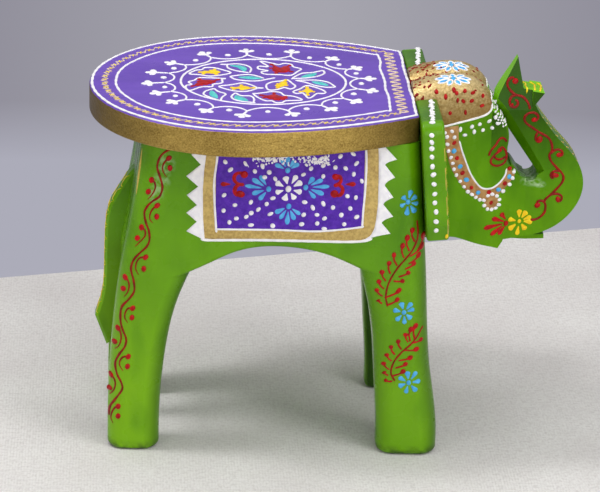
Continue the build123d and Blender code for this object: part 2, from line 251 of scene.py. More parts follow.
# ---- finishes -----------------------------------------------------------------------
def across(w: Wiring, axis: int = 1) -> Socket:
    """How far a face is turned along an axis.

    Args:
        w: the material.
        axis: 0, 1 or 2 for X, Y or Z; sideways by default.

    Returns:
        That part of the normal.
    """
    facing = w.node("ShaderNodeSeparateXYZ")
    w.join(w.node("ShaderNodeNewGeometry").outputs["Normal"], facing.inputs[0])
    return facing.outputs[axis]


@dataclass(frozen=True)
class BodyEnamel:
    """Green gloss enamel brushed over rasped wood, with the gold cap of the head if it has one."""

    name: str
    colour: Colour = srgb(101, 159, 7)
    deep: Colour = srgb(74, 130, 4)
    full: Colour = srgb(124, 180, 12)        # painted light from the floor: the green lighter towards the feet
    shade_green: Colour = srgb(34, 72, 3)           # dark green of the painted shade
    gold: Optional["GoldPaint"] = None
    cap_line: tuple[float, float, float] = (71.3, 233.4, 0.125)   # X, Z and rise of its lower edge
    cap_front: float = 105.3
    cap_free: float = 251.0
    cap_end: float = 112.0
    trunk_root: float = 106.0
    # strength of the painted highlights
    highlight_strength: float = 0.50
    flat: float = 0.7                        # how much wider than high a painted highlight is
    specular: float = ENAMEL_SPECULAR
    painted_highlights: tuple[tuple[float, float, float], ...] = ()   # X, Z and reach of painted highlights

    def material(self) -> Material:
        """The finished material.

        Returns:
            Enamel whose colour, gloss and relief vary as brushed paint on wood does, with painted shade and
            painted light in its colour.
        """
        w = Wiring(self.name)
        broad = w.noise(22.0, 2.0)
        streak = w.noise(60.0, 4.0, (1.0, 1.0, 0.22))
        facets = w.noise(34.0, 1.0, (1.0, 1.0, 0.10))
        colour = w.blend(w.span(broad, 0.36, 0.66), self.deep, self.colour)
        # painted floor bounce: lighter towards the feet, more so at the rear
        low = w.math("MULTIPLY", w.span(w.z, 0.19, 0.05), w.span(w.x, 0.02, -0.10, 0.55, 1.0))
        colour = w.blend(low, colour, self.full)
        colour = w.blend(w.span(streak, 0.38, 0.72, 0.0, 0.40), colour, srgb(112, 172, 10))
        colour = w.blend(w.span(w.noise(44.0, 2.0, (1.0, 1.0, 0.4)), 0.56, 0.74, 0.0, 0.45), colour,
                         self.deep)
        # painted shade on the inner faces of the legs and the sides of the upper trunk
        colour = w.blend(self.painted_shade_share(w), colour, self.shade_green)
        if self.gold is None:
            # painted shade where the front leg meets the ear and on faces turned forward lower down
            beside = w.math("MULTIPLY", w.span(w.x, 0.046, 0.058), w.span(w.z, 0.150, 0.172))
            flank = w.span(w.math("ABSOLUTE", w.y), 0.080, 0.078)
            ahead = w.math("MULTIPLY", w.span(across(w, 0), 0.10, 0.75), w.span(w.z, 0.17, 0.14))
            shade = w.math("MAXIMUM", w.math("MULTIPLY", beside, 0.6), w.math("MULTIPLY", ahead, 0.55))
            colour = w.blend(w.math("MULTIPLY", shade, flank), colour, self.shade_green)
        # painted contact shadow along the bottom of the feet, broken up by noise
        foot_shade = w.math("MULTIPLY", w.span(w.z, 0.008, 0.001), w.span(w.noise(140.0), 0.30, 0.6))
        colour = w.blend(w.math("MULTIPLY", foot_shade, 0.9), colour, srgb(38, 52, 20))
        rough = w.span(w.noise(48.0, 3.0), 0.3, 0.7, 0.20, 0.36)
        # painted highlights: pale spots at the listed places
        for x, z, reach in self.painted_highlights:
            colour = w.blend(self.glint(w, x, z, reach), colour, srgb(186, 214, 168))
        if self.gold is not None:
            share = self.cap_share(w)
            # painted light on the upper trunk's bevel: lighter green where faces aren't turned sideways
            edge = w.math("SUBTRACT", 1.0, w.span(w.math("ABSOLUTE", across(w)), 0.62, 0.80))
            tip = w.math("MULTIPLY", edge, w.math("GREATER_THAN", w.x, self.trunk_root * MM))
            lit = w.math("MULTIPLY", tip, w.span(w.z, 0.236, 0.246))
            colour = w.blend(w.math("MULTIPLY", lit, 0.85), colour, srgb(128, 204, 16))
            # painted shade: the cap browner towards its lower edge, with random brown patches from noise
            lower_cap_shade = w.math("ADD", w.span(w.z, 0.262, 0.240, 0.0, 0.70), w.span(w.noise(46.0, 3.0), 0.5, 0.7,
                    0.0, 0.30))
            cap = w.blend(lower_cap_shade, self.gold.tint(w), srgb(122, 90, 28))
            colour = w.blend(share, colour, cap)
            rough = w.either(share, rough, 0.42)
            w.feed(w.shader.inputs["Metallic"], w.math("MULTIPLY", share, self.gold.metal))
            w.relief(share, 0.6, 0.0004)
            w.relief(w.math("MULTIPLY", w.noise(120.0, 3.0, (0.6, 1.0, 1.0)), share), 0.7, 0.0014)
        w.feed(w.shader.inputs["Base Color"], colour)
        w.feed(w.shader.inputs["Roughness"], rough)
        w.shader.inputs["Specular IOR Level"].default_value = self.specular
        w.relief(facets, 0.5, 0.0022)
        w.relief(streak, 0.35, 0.0006)
        w.relief(w.noise(520.0, 2.0), 0.12, 0.0002)
        return w.material

    def painted_shade_share(self, w: Wiring) -> Socket:
        """Share of the painted shade: inner faces of the legs, and sides of the upper trunk on the head.

        Args:
            w: the material.

        Returns:
            A share from 0 to 1.
        """
        turned = across(w)
        if self.gold is not None:
            sideways = w.span(w.math("ABSOLUTE", turned), 0.55, 0.9)
            high = w.math("MULTIPLY", w.span(w.z, 0.192, 0.234), w.math("GREATER_THAN", w.x,
                    self.trunk_root * MM))
            return w.math("MULTIPLY", w.math("MULTIPLY", sideways, high), 0.86)
        inward = w.span(w.math("MULTIPLY", turned, w.math("SIGN", w.y)), -0.2, -0.8)
        return w.math("MULTIPLY", w.math("MULTIPLY", inward, w.span(w.z, 0.15, 0.12)), 0.93)

    def glint(self, w: Wiring, x: float, z: float, reach: float) -> Socket:
        """Share of one painted highlight: a round fall-off from its middle, broken up by noise.

        Args:
            w: the material.
            x, z: middle of the spot in mm.
            reach: its radius in mm.

        Returns:
            A share from 0 to 1.
        """
        dx = w.math("SUBTRACT", w.x, x * MM)
        dz = w.math("MULTIPLY", w.math("SUBTRACT", w.z, z * MM), self.flat)
        far = w.math("SQRT", w.math("ADD", w.math("MULTIPLY", dx, dx), w.math("MULTIPLY", dz, dz)))
        broken = w.span(w.noise(240.0, 4.0), 0.42, 0.60)
        return w.math("MULTIPLY", w.math("MULTIPLY", w.span(far, reach * MM, reach * MM * 0.3), broken),
                      self.highlight_strength)

    def cap_share(self, w: Wiring) -> Socket:
        """Share of gold: over a rising line and behind a front line, their corner rounded, and on the top.

        Args:
            w: the material.

        Returns:
            A share from 0 to 1.
        """
        x0, z0, rise = self.cap_line
        line = w.math("ADD", w.math("MULTIPLY", w.math("SUBTRACT", w.x, x0 * MM), rise), z0 * MM)
        wobble = w.math("MULTIPLY", w.math("SUBTRACT", w.noise(90.0, 1.0), 0.5), 0.0008)
        over = w.math("ADD", w.math("SUBTRACT", w.z, line), wobble)
        behind = w.math("SUBTRACT", self.cap_front * MM, w.x)
        corner = 6.0 * MM
        q1 = w.math("MAXIMUM", w.math("SUBTRACT", corner, over), 0.0)
        q2 = w.math("MAXIMUM", w.math("SUBTRACT", corner, behind), 0.0)
        reach = w.math("SQRT", w.math("ADD", w.math("MULTIPLY", q1, q1), w.math("MULTIPLY", q2, q2)))
        inside = w.span(reach, corner + 0.0002, corner - 0.0002)
        top = w.math("MULTIPLY", w.span(w.z, (self.cap_free - 0.2) * MM, (self.cap_free + 0.2) * MM),
                     w.math("LESS_THAN", w.x, self.cap_end * MM))
        return w.math("MAXIMUM", inside, top)


@dataclass(frozen=True)
class GoldPaint:
    """Metallic gold paint, grainy and streaked with the brush."""

    name: str
    light: Colour = srgb(206, 176, 100)
    dark: Colour = srgb(150, 116, 56)
    speckle: float = 900.0
    metal: float = 0.5
    shaded_ends: Optional[Colour] = None        # painted shade at the two ends of a rim

    def tint(self, w: Wiring) -> Socket:
        """The grainy gold colour, for this material or as a part of another.

        Args:
            w: the material.

        Returns:
            The colour.
        """
        grain = w.math("ADD", w.math("MULTIPLY", w.noise(self.speckle, 2.0), 0.6),
                       w.math("MULTIPLY", w.noise(70.0, 3.0, (0.35, 0.35, 1.0)), 0.4))
        colour = w.blend(w.span(grain, 0.36, 0.62), self.dark, self.light)
        if self.shaded_ends is None:
            return colour
        # painted shade: darker gold towards the rim's two ends
        reach = w.math("ABSOLUTE", w.math("ADD", w.x, 0.06))
        return w.blend(w.span(reach, 0.06, 0.116, 0.0, 0.9), colour, self.shaded_ends)

    def material(self) -> Material:
        """Builds the finish.

        Returns:
            The finished material.
        """
        w = Wiring(self.name)
        w.feed(w.shader.inputs["Base Color"], self.tint(w))
        w.shader.inputs["Metallic"].default_value = self.metal
        w.feed(w.shader.inputs["Roughness"], w.span(w.noise(300.0), 0.3, 0.7, 0.38, 0.55))
        w.relief(w.noise(self.speckle, 3.0), 0.35, 0.0003)
        return w.material


@dataclass(frozen=True)
class SeatEnamel:
    """Purple enamel on the top of the seat, gold on its rim, bare wash underneath."""

    name: str = "seat_purple_and_gold"
    purple: Colour = srgb(114, 80, 190)
    deep: Colour = srgb(100, 68, 174)
    # the rim gold darkened at both ends as painted shade
    gold: GoldPaint = GoldPaint("rim_gold", srgb(192, 162, 84), srgb(132, 106, 44), shaded_ends=srgb(88, 70, 24))
    top: float = 254.0

    def material(self) -> Material:
        """Builds the finish.

        Returns:
            The finished material.
        """
        w = Wiring(self.name)
        brush = w.noise(30.0, 4.0, (0.5, 1.4, 1.0))
        purple = w.blend(w.span(brush, 0.35, 0.7), self.deep, self.purple)
        edge = w.math("ADD", w.z, w.math("MULTIPLY", w.math("SUBTRACT", w.noise(110.0), 0.5), 0.0008))
        share = w.span(edge, (self.top - 1.5) * MM, (self.top - 1.1) * MM)
        w.feed(w.shader.inputs["Base Color"], w.blend(share, self.gold.tint(w), purple))
        w.feed(w.shader.inputs["Metallic"], w.span(share, 0.0, 1.0, 0.55, 0.0))
        shine = w.span(w.noise(40.0), 0.3, 0.7, 0.26, 0.40)
        w.feed(w.shader.inputs["Roughness"], w.either(share, 0.42, shine))
        w.shader.inputs["Specular IOR Level"].default_value = 0.3
        w.relief(brush, 0.25, 0.0005)
        w.relief(w.noise(700.0, 2.0), 0.22, 0.0003)
        w.relief(w.math("MULTIPLY", w.noise(420.0, 4.0, (0.5, 0.5, 1.0)), w.span(share, 0.0, 1.0, 1.0, 0.0)),
                 0.8, 0.0008)
        return w.material


@dataclass(frozen=True)
class DabPaint:
    """Thick glossy enamel laid on with a fine brush or a cone."""

    name: str
    colour: Colour
    second: Colour
    gloss: float = 0.26

    def material(self) -> Material:
        """Builds the finish.

        Returns:
            The finished material.
        """
        w = Wiring(self.name)
        thick = w.noise(260.0, 2.0)
        w.feed(w.shader.inputs["Base Color"], w.blend(w.span(thick, 0.35, 0.68), self.second, self.colour))
        w.feed(w.shader.inputs["Roughness"], w.span(w.noise(120.0), 0.3, 0.7, self.gloss, self.gloss + 0.16))
        w.shader.inputs["Specular IOR Level"].default_value = ENAMEL_SPECULAR
        w.relief(thick, 0.3, 0.0003)
        return w.material


@dataclass(frozen=True)
class PlainWood:
    """Unpainted hardwood of the dowels, grain along their length."""

    name: str = "dowel_wood"

    def material(self) -> Material:
        """Builds the finish.

        Returns:
            The finished material.
        """
        w = Wiring(self.name)
        grain = w.noise(240.0, 4.0, (1.0, 0.2, 1.0))
        w.feed(w.shader.inputs["Base Color"], w.blend(grain, srgb(140, 98, 58), srgb(196, 156, 108)))
        w.feed(w.shader.inputs["Roughness"], w.span(grain, 0.0, 1.0, 0.55, 0.75))
        w.relief(grain, 0.3, 0.0003)
        return w.material


@dataclass(frozen=True)
class PinSteel:
    """Drawn steel wire of the tail pins, brushed over with a little green."""

    name: str = "pin_steel"

    def material(self) -> Material:
        """Builds the finish.

        Returns:
            The finished material.
        """
        w = Wiring(self.name)
        smear = w.span(w.noise(800.0, 2.0), 0.45, 0.6)
        w.feed(w.shader.inputs["Base Color"], w.blend(smear, srgb(150, 150, 150), srgb(96, 140, 36)))
        w.feed(w.shader.inputs["Metallic"], w.span(smear, 0.0, 1.0, 0.9, 0.0))
        w.feed(w.shader.inputs["Roughness"], w.span(smear, 0.0, 1.0, 0.38, 0.5))
        w.relief(smear, 0.2, 0.0002)
        return w.material


# ---- surfaces to paint on -----------------------------------------------------------
class SurfaceMap:
    """Depth of a carved piece seen along one axis, kept on an even grid.

    The depth between grid points is the weighted mean of the four nearest, and the slope
    of the depth gives the direction in which the paint stands proud.
    """

    def __init__(self, node: str, facing: Facing, window: tuple[float, float, float, float],
                 pitch: float = 0.8) -> None:
        """Casts the grid onto the piece.

        Args:
            node: name of the frame's node.
            facing: the side that is painted.
            window: low and high of the first axis, low and high of the second, in mm.
            pitch: grid spacing in mm.
        """
        self.facing = facing
        self.low = np.array([window[0], window[2]])
        self.pitch = pitch
        count = [int((window[i + 1] - window[i]) / pitch) + 2 for i in (0, 2)]
        across = np.stack(np.meshgrid(*[np.arange(n) * pitch for n in count], indexing="ij"), -1) + self.low
        first, second, deep, sign = facing.value
        far = sign * FAR
        start = np.zeros(across.shape[:2] + (3,))
        start[..., first], start[..., second], start[..., deep] = across[..., 0], across[..., 1], far
        depth = self._cast(start.reshape(-1, 3) * MM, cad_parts[node])[:, deep].reshape(count) / MM
        depth[np.abs(depth - far) < 1.0] = np.nan
        self.depth = self._filled(depth)
        slope = np.clip(np.gradient(self.depth, pitch), -STEEPEST, STEEPEST)
        self.slope = np.stack(slope, -1)

    def _cast(self, start: np.ndarray, target: bpy.types.Object) -> np.ndarray:
        """Moves points along the depth axis until they meet the target.

        Args:
            start: the points, in metres.
            target: the object they are cast on.

        Returns:
            The points after the cast; those that met nothing haven't moved.
        """
        mesh = bpy.data.meshes.new("cast")
        mesh.vertices.add(len(start))
        mesh.vertices.foreach_set("co", start.astype(np.float32).ravel())
        caster = bpy.data.objects.new("cast", mesh)
        bpy.context.scene.collection.objects.link(caster)
        wrap = caster.modifiers.new("wrap", "SHRINKWRAP")
        wrap.wrap_method = "PROJECT"
        wrap.target = target
        axis = "xyz"[self.facing.value[2]]
        for name in "xyz":
            setattr(wrap, "use_project_" + name, name == axis)
        wrap.use_negative_direction = self.facing.value[3] > 0
        wrap.use_positive_direction = self.facing.value[3] < 0
        shown = caster.evaluated_get(bpy.context.evaluated_depsgraph_get())
        found = np.empty(len(start) * 3, np.float32)
        shown.data.vertices.foreach_get("co", found)
        bpy.data.objects.remove(caster)
        bpy.data.meshes.remove(mesh)
        return found.reshape(-1, 3).astype(float)

    @staticmethod
    def _filled(depth: np.ndarray) -> np.ndarray:
        """Spreads the known depth outwards over the places where nothing was met.

        Args:
            depth: a grid of depths, NaN where nothing was met.

        Returns:
            The grid without gaps.
        """
        for _ in range(SPREADS):
            gaps = np.isnan(depth)
            if not gaps.any():
                return depth
            padded = np.pad(depth, 1, constant_values=np.nan)
            near = np.stack([padded[:-2, 1:-1], padded[2:, 1:-1], padded[1:-1, :-2], padded[1:-1, 2:]])
            known = ~np.isnan(near)
            total = np.where(known, near, 0.0).sum(0)
            depth = np.where(gaps & known.any(0), total / np.maximum(known.sum(0), 1), depth)
        return np.nan_to_num(depth, nan=float(np.nanmean(depth)))

    def lay(self, across: np.ndarray, proud: np.ndarray) -> np.ndarray:
        """Puts points of the flat design onto the piece.

        Args:
            across: (..., 2) places on the two axes across, in mm.
            proud: (...) height over the surface, in mm.

        Returns:
            (..., 3) points in mm.
        """
        spot = (across - self.low) / self.pitch
        top = np.array(self.depth.shape) - 2
        cell = np.clip(np.floor(spot).astype(int), 0, top)
        part = np.clip(spot - cell, 0.0, 1.0)
        i, j = cell[..., 0], cell[..., 1]
        u, v = part[..., 0], part[..., 1]

        def mean(grid: np.ndarray) -> np.ndarray:
            """Weighted mean of the four corners of each cell.

            Args:
                grid: values at the corners.

            Returns:
                The means.
            """
            a, b = (u, v) if grid.ndim == 2 else (u[..., None], v[..., None])
            return ((1 - a) * (1 - b) * grid[i, j] + a * (1 - b) * grid[i + 1, j]
                    + (1 - a) * b * grid[i, j + 1] + a * b * grid[i + 1, j + 1])

        depth, slope = mean(self.depth), mean(self.slope)
        first, second, deep, sign = self.facing.value
        out = np.zeros(across.shape[:-1] + (3,))
        normal = np.zeros_like(out)
        out[..., first], out[..., second], out[..., deep] = across[..., 0], across[..., 1], depth
        normal[..., first], normal[..., second], normal[..., deep] = -slope[..., 0], -slope[..., 1], 1.0
        normal *= sign / np.linalg.norm(normal, axis=-1, keepdims=True)
        return out + normal * np.asarray(proud)[..., None]

    @property
    def turns(self) -> bool:
        """Whether the two axes across and the outward direction are a left-handed set.

        Returns:
            True where they are.
        """
        first, second, deep, sign = self.facing.value
        axes = np.eye(3)
        return float(np.dot(np.cross(axes[first], axes[second]), axes[deep]) * sign) < 0


class FlatBoard(SurfaceMap):
    """A level board's top, whose depth is the same everywhere."""

    def __init__(self, height: float) -> None:
        """Makes the map of a level face at a height in mm.

        Args:
            height: where the face is.
        """
        self.facing = Facing.TOP
        self.low = np.array([-400.0, -400.0])
        self.pitch = 100.0
        self.depth = np.full((12, 12), height)
        self.slope = np.zeros((12, 12, 2))


# ---- shapes of paint ----------------------------------------------------------------
@dataclass
class Part:
    """Points in mm and faces as lists of point numbers."""

    points: np.ndarray
    faces: list[np.ndarray]


def smooth(points: Points, step: float = 1.0, closed: bool = False) -> np.ndarray:
    """Evenly spaced points on the curve through the given ones.

    Each stretch is the Catmull-Rom cubic: its slope at a point is half the run between
    that point's two neighbours.

    Args:
        points: places to pass through, in order.
        step: spacing along the curve in mm.
        closed: whether the last point joins the first.

    Returns:
        (n, 2) array.
    """
    p = np.asarray(points, float)
    if closed:
        p = np.vstack([p[-1], p, p[0], p[1]])
    else:
        p = np.vstack([2 * p[0] - p[1], p, 2 * p[-1] - p[-2]])
    t = np.linspace(0, 1, 13)[:-1][None, :, None]
    a, b, c, d = (p[i:len(p) - 3 + i][:, None, :] for i in range(4))
    square, cube = (2 * a - 5 * b + 4 * c - d) * t ** 2, (3 * b - a - 3 * c + d) * t ** 3
    run = 0.5 * (2 * b + (c - a) * t + square + cube)
    run = np.vstack([run.reshape(-1, 2), p[-2][None]])
    far = np.concatenate([[0.0], np.cumsum(np.linalg.norm(np.diff(run, axis=0), axis=1))])
    count = max(int(round(far[-1] / step)), 3)
    want = np.linspace(0, far[-1], count + 1)
    return np.stack([np.interp(want, far, run[:, k]) for k in (0, 1)], 1)


def left_of(ahead: np.ndarray) -> np.ndarray:
    """Vectors turned a quarter to the left."""
    return np.stack([-ahead[..., 1], ahead[..., 0]], -1)


def grown(points: Points, middle: Points, share: float) -> np.ndarray:
    """Points moved straight away from a middle, or towards it, to a share of their distance."""
    return np.asarray(middle) + share * (np.asarray(points, float) - middle)


def headings(line: np.ndarray, reach: int = 1) -> tuple[np.ndarray, np.ndarray]:
    """Directions along a closed line.

    Args:
        line: its points.
        reach: how many points behind and ahead are compared.

    Returns:
        Unit vectors ahead and to the left.
    """
    ahead = np.roll(line, -reach, 0) - np.roll(line, reach, 0)
    ahead /= np.linalg.norm(ahead, axis=1, keepdims=True)
    return ahead, left_of(ahead)


PROFILE = np.array([-1.0, -0.9, -0.5, 0.0, 0.5, 0.9, 1.0])          # places across a stroke
CROWN = np.array([np.nan, 0.45, 0.88, 1.0, 0.88, 0.45, np.nan])     # share of its height there


def tube_faces(rows: int, columns: int, closed: bool) -> list[np.ndarray]:
    """Faces of a tube.

    Args:
        rows: points along it.
        columns: points of its profile.
        closed: whether it is a ring; if it isn't, its ends are closed.

    Returns:
        Quads, and the two ends.
    """
    i, j = np.meshgrid(np.arange(rows if closed else rows - 1), np.arange(columns), indexing="ij")
    k, m = (i + 1) % rows, (j + 1) % columns
    quads = np.stack([i * columns + j, i * columns + m, k * columns + m, k * columns + j], -1).reshape(-1, 4)
    if closed:
        return [quads]
    first = np.arange(columns)[::-1][None]
    last = (np.arange(columns) + (rows - 1) * columns)[None]
    return [quads, first, last]


def width_along(t: np.ndarray, tip: Tip) -> np.ndarray:
    """Share of a stroke's full width at each place from 0 to 1 along it.

    EVEN is full with round ends; BULB grows from a thread to a round drop at its end;
    LEAF is a sine, widest in the middle; TAIL is a drop at its start that thins out; GROW
    starts as a thread and ends full; PIN is a thread with an oval head over its last two fifths.

    Args:
        t: places from 0 to 1 along the stroke.
        tip: how the width runs.

    Returns:
        The share at each place.
    """
    if tip is Tip.PIN:
        head = np.sqrt(np.clip(1 - ((t - PIN_AT) / 0.20) ** 2, 0.0, 1.0))
        return np.maximum(head, np.where(t < PIN_AT, PIN_NECK, 0.1))
    if tip is Tip.GROW:
        return 0.25 + 0.75 * t ** 0.6
    if tip is Tip.TAIL:
        return width_along(1.0 - t, Tip.BULB)
    if tip is Tip.LEAF:
        return 0.12 + 0.88 * np.sin(np.pi * t) ** 0.8
    if tip is Tip.BULB:
        drop = np.sqrt(np.clip(1 - ((t - DROP_AT) / 0.28) ** 2, 0.02, 1.0))
        return np.where(t > DROP_AT, drop, 0.26 + 0.74 * (t / DROP_AT) ** 1.15)
    return np.ones_like(t)


def stroke(surface: SurfaceMap, path: Points, width: float, height: float = 0.45, tip: Tip = Tip.EVEN,
           closed: bool = False, step: float = 1.0, wobble: float = 0.06, seed: int = 0) -> Part:
    """A raised line of paint: a crowned section carried along a path on the surface.

    The section is seven points across, the outer two sunk into the wood; the width
    swells and thins a little along the path, as a hand-drawn line does.

    Args:
        surface: what it is painted on.
        path: places to pass through.
        width: full width in mm.
        height: thickness at the crown in mm.
        tip: how the width runs along it.
        closed: whether it is a ring.
        step: spacing of sections in mm.
        wobble: share by which the width varies.
        seed: picks the variation.

    Returns:
        The part.
    """
    line = smooth(path, step, closed)
    if closed:
        line = line[:-1]
        ahead = np.roll(line, -1, 0) - np.roll(line, 1, 0)
        t = np.linspace(0, 1, len(line), endpoint=False)
    else:
        ahead = np.gradient(line, axis=0)
        t = np.linspace(0, 1, len(line))
    ahead /= np.maximum(np.linalg.norm(ahead, axis=1, keepdims=True), 1e-9)
    side = left_of(ahead)
    share = width_along(t, tip)
    if tip is Tip.EVEN and not closed:
        far = t * step * (len(line) - 1)
        cap = min(width / 2, far[-1] / 2)
        near_end = np.minimum(far, far[-1] - far) / max(cap, 1e-6)
        share = np.sqrt(np.clip(1 - (1 - np.clip(near_end, 0, 1)) ** 2, 0.06, 1))
    phase = seed * 1.7 + 0.3
    length = len(line) * step
    turns = 2 * np.pi * np.round(length / RING_SWELL) if closed else length / SWELL
    share = share * (1 + wobble * np.sin(phase + turns * t))
    half = (width / 2 * share)[:, None]
    across = line[:, None, :] + side[:, None, :] * (half * PROFILE)[..., None]
    proud = np.where(np.isnan(CROWN)[None], -EMBED,
                     height * np.sqrt(share)[:, None] * np.nan_to_num(CROWN)[None])
    faces = tube_faces(len(line), len(PROFILE), closed)
    part = Part(surface.lay(across, proud).reshape(-1, 3), faces)
    return part if surface.turns else flipped(part)


def blob(surface: SurfaceMap, outline: Points, height: float = 0.45, count: int = 28) -> Part:
    """A filled shape: rings that shrink from the outline to its middle, rising as a low dome.

    Args:
        surface: what it is painted on.
        outline: closed outline, seen whole from its middle.
        height: thickness in the middle in mm.
        count: points round each ring.

    Returns:
        The part.
    """
    edge = smooth(outline, FINE_STEP, True)[:-1]
    edge = edge[np.linspace(0, len(edge), count, endpoint=False).astype(int)]
    middle = edge.mean(0)
    area = np.sum(edge[:, 0] * np.roll(edge[:, 1], -1) - np.roll(edge[:, 0], -1) * edge[:, 1])
    if area < 0:
        edge = edge[::-1]
    shares = np.array([1.0, 0.93, 0.7, 0.35])
    heights = np.array([-EMBED, 0.5 * height, 0.9 * height, height])
    across = middle + (edge - middle)[None] * shares[:, None, None]
    across = np.vstack([across.reshape(-1, 2), middle])
    proud = np.append(np.repeat(heights, len(edge)), height)
    part = Part(surface.lay(across, proud), dome_faces(len(shares), len(edge)))
    return flipped(part) if surface.turns else part


def dome_faces(rings: int, count: int) -> list[np.ndarray]:
    """Faces of a closed dome.

    Args:
        rings: rings of points from the rim inwards.
        count: points of each ring.

    Returns:
        Quads from ring to ring, a fan to the middle point, and one face below.
    """
    i, j = np.meshgrid(np.arange(rings - 1), np.arange(count), indexing="ij")
    m = (j + 1) % count
    quads = np.stack([i * count + j, i * count + m, (i + 1) * count + m, (i + 1) * count + j], -1)
    rim, inner = np.arange(count), (rings - 1) * count
    fan = np.stack([inner + rim, inner + (rim + 1) % count, np.full(count, rings * count)], 1)
    return [quads.reshape(-1, 4), fan, rim[::-1][None]]


def flipped(part: Part) -> Part:
    """The same part with every face turned round."""
    return Part(part.points, [block[:, ::-1] for block in part.faces])


def dabs(surface: SurfaceMap, centres: Points, radius: object, height: float = 0.7, count: int = 10,
         ragged: float = 0.12, seed: int = 1) -> Part:
    """Round dabs of thick paint: one low dome copied to every centre in one array step.

    Args:
        surface: what they are painted on.
        centres: their middles.
        radius: one radius or one for each, in mm.
        height: thickness in the middle for a dab of 1.2 mm radius; it grows with the radius.
        count: points round each ring.
        ragged: share by which each dab is stretched one way.
        seed: picks the stretch.

    Returns:
        All the dabs as one part.
    """
    c = np.asarray(centres, float).reshape(-1, 2)
    rng = np.random.default_rng(seed)
    r = np.broadcast_to(np.asarray(radius, float), (len(c),)) * rng.uniform(0.92, 1.08, len(c))
    turn = rng.uniform(0, np.pi, len(c))[:, None, None]
    pull = (1 + ragged * rng.uniform(-1, 1, len(c)))[:, None, None]
    shares = np.array([1.0, 0.9, 0.55])[None, :, None]
    around = np.linspace(0, 2 * np.pi, count, endpoint=False)[None, None, :]
    px, py = shares * np.cos(around - turn) * pull, shares * np.sin(around - turn) / pull
    ring = np.stack([px * np.cos(turn) - py * np.sin(turn), px * np.sin(turn) + py * np.cos(turn)], -1)
    across = c[:, None, None, :] + ring * r[:, None, None, None]
    across = np.concatenate([across.reshape(len(c), -1, 2), c[:, None, :]], 1)
    tall = height * np.sqrt(r / DAB_RADIUS)
    rise = np.concatenate([np.repeat([np.nan, 0.5, 0.9], count), [1.0]])
    proud = np.where(np.isnan(rise)[None], -EMBED, tall[:, None] * np.nan_to_num(rise)[None])
    points = surface.lay(across, proud)
    faces = dome_faces(3, count)
    shift = (np.arange(len(c)) * points.shape[1])[:, None, None]
    blocks = [(block[None] + shift).reshape(-1, block.shape[1]) for block in faces]
    part = Part(points.reshape(-1, 3), blocks)
    return flipped(part) if surface.turns else part


def panel(surface: SurfaceMap, place: Callable[[np.ndarray, np.ndarray], np.ndarray], rows: int, columns: int,
          height: float) -> Part:
    """A thin coat of paint over a region: the region's own function of two parameters, top and underside.

    Args:
        surface: what it is painted on.
        place: gives the places across for arrays of s and t, each from 0 to 1.
        rows: grid points along s.
        columns: grid points along t.
        height: thickness in mm.

    Returns:
        A closed slab whose rim is sunk into the wood.
    """
    s, t = np.meshgrid(np.linspace(0, 1, rows), np.linspace(0, 1, columns), indexing="ij")
    across = place(s, t)
    top = surface.lay(across, np.full(s.shape, height))
    under = surface.lay(across, np.full(s.shape, -EMBED))
    points = np.concatenate([top.reshape(-1, 3), under.reshape(-1, 3)])
    i, j = np.meshgrid(np.arange(rows - 1), np.arange(columns - 1), indexing="ij")
    a = i * columns + j
    upper = np.stack([a, a + columns, a + columns + 1, a + 1], -1).reshape(-1, 4)
    size = rows * columns
    lower = upper[:, ::-1] + size
    ring = np.concatenate([np.arange(columns - 1), (np.arange(rows - 1) + 1) * columns - 1,
                           (rows * columns - 1) - np.arange(columns - 1),
                           (rows - 1 - np.arange(rows - 1)) * columns])
    nxt = np.roll(ring, -1)
    wall = np.stack([ring, nxt, nxt + size, ring + size], -1)
    first, second = across[0, 0], across[1, 0]
    third = across[0, 1]
    turn = np.cross(second - first, third - first)
    part = Part(points, [upper, lower, wall])
    return flipped(part) if (turn < 0) != surface.turns else part


def mirrored(part: Part) -> Part:
    """The part on the other side of the body."""
    return flipped(Part(part.points * np.array([1.0, -1.0, 1.0]), part.faces))


class PaintLayer:
    """All the paint of one colour on one sub-assembly, as one piece."""

    def __init__(self, name: str, material: Material, slot: Slot) -> None:
        """Starts an empty layer."""
        self.name, self.material, self.slot = name, material, slot
        self.parts: list[Part] = []

    def add(self, *parts: Part) -> None:
        """Adds parts."""
        self.parts.extend(parts)

    def both(self, *parts: Part) -> None:
        """Adds parts and their mirror images."""
        self.parts.extend(parts)
        self.parts.extend(mirrored(part) for part in parts)

    def build(self) -> None:
        """Makes the mesh, gives it its paint and lets it ride on the body."""
        points = np.concatenate([part.points for part in self.parts]) * MM
        start = np.cumsum([0] + [len(part.points) for part in self.parts[:-1]])
        blocks = [block + at for part, at in zip(self.parts, start) for block in part.faces]
        sizes = np.concatenate([np.full(len(block), block.shape[1]) for block in blocks])
        corners = np.concatenate([block.ravel() for block in blocks])
        mesh = bpy.data.meshes.new(self.name)
        mesh.vertices.add(len(points))
        mesh.vertices.foreach_set("co", points.astype(np.float32).ravel())
        mesh.loops.add(len(corners))
        mesh.loops.foreach_set("vertex_index", corners.astype(np.int32))
        mesh.polygons.add(len(sizes))
        mesh.polygons.foreach_set("loop_start", np.concatenate([[0], np.cumsum(sizes)[:-1]]).astype(np.int32))
        mesh.polygons.foreach_set("loop_total", sizes.astype(np.int32))
        mesh.polygons.foreach_set("use_smooth", sizes < 5)
        mesh.update(calc_edges=True)
        mesh.validate()
        mesh.materials.append(self.material)
        made = bpy.data.objects.new(self.name, mesh)
        bpy.context.scene.collection.objects.link(made)
        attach(made, "root")
        LOG.info("%s: %d faces", self.name, len(sizes))


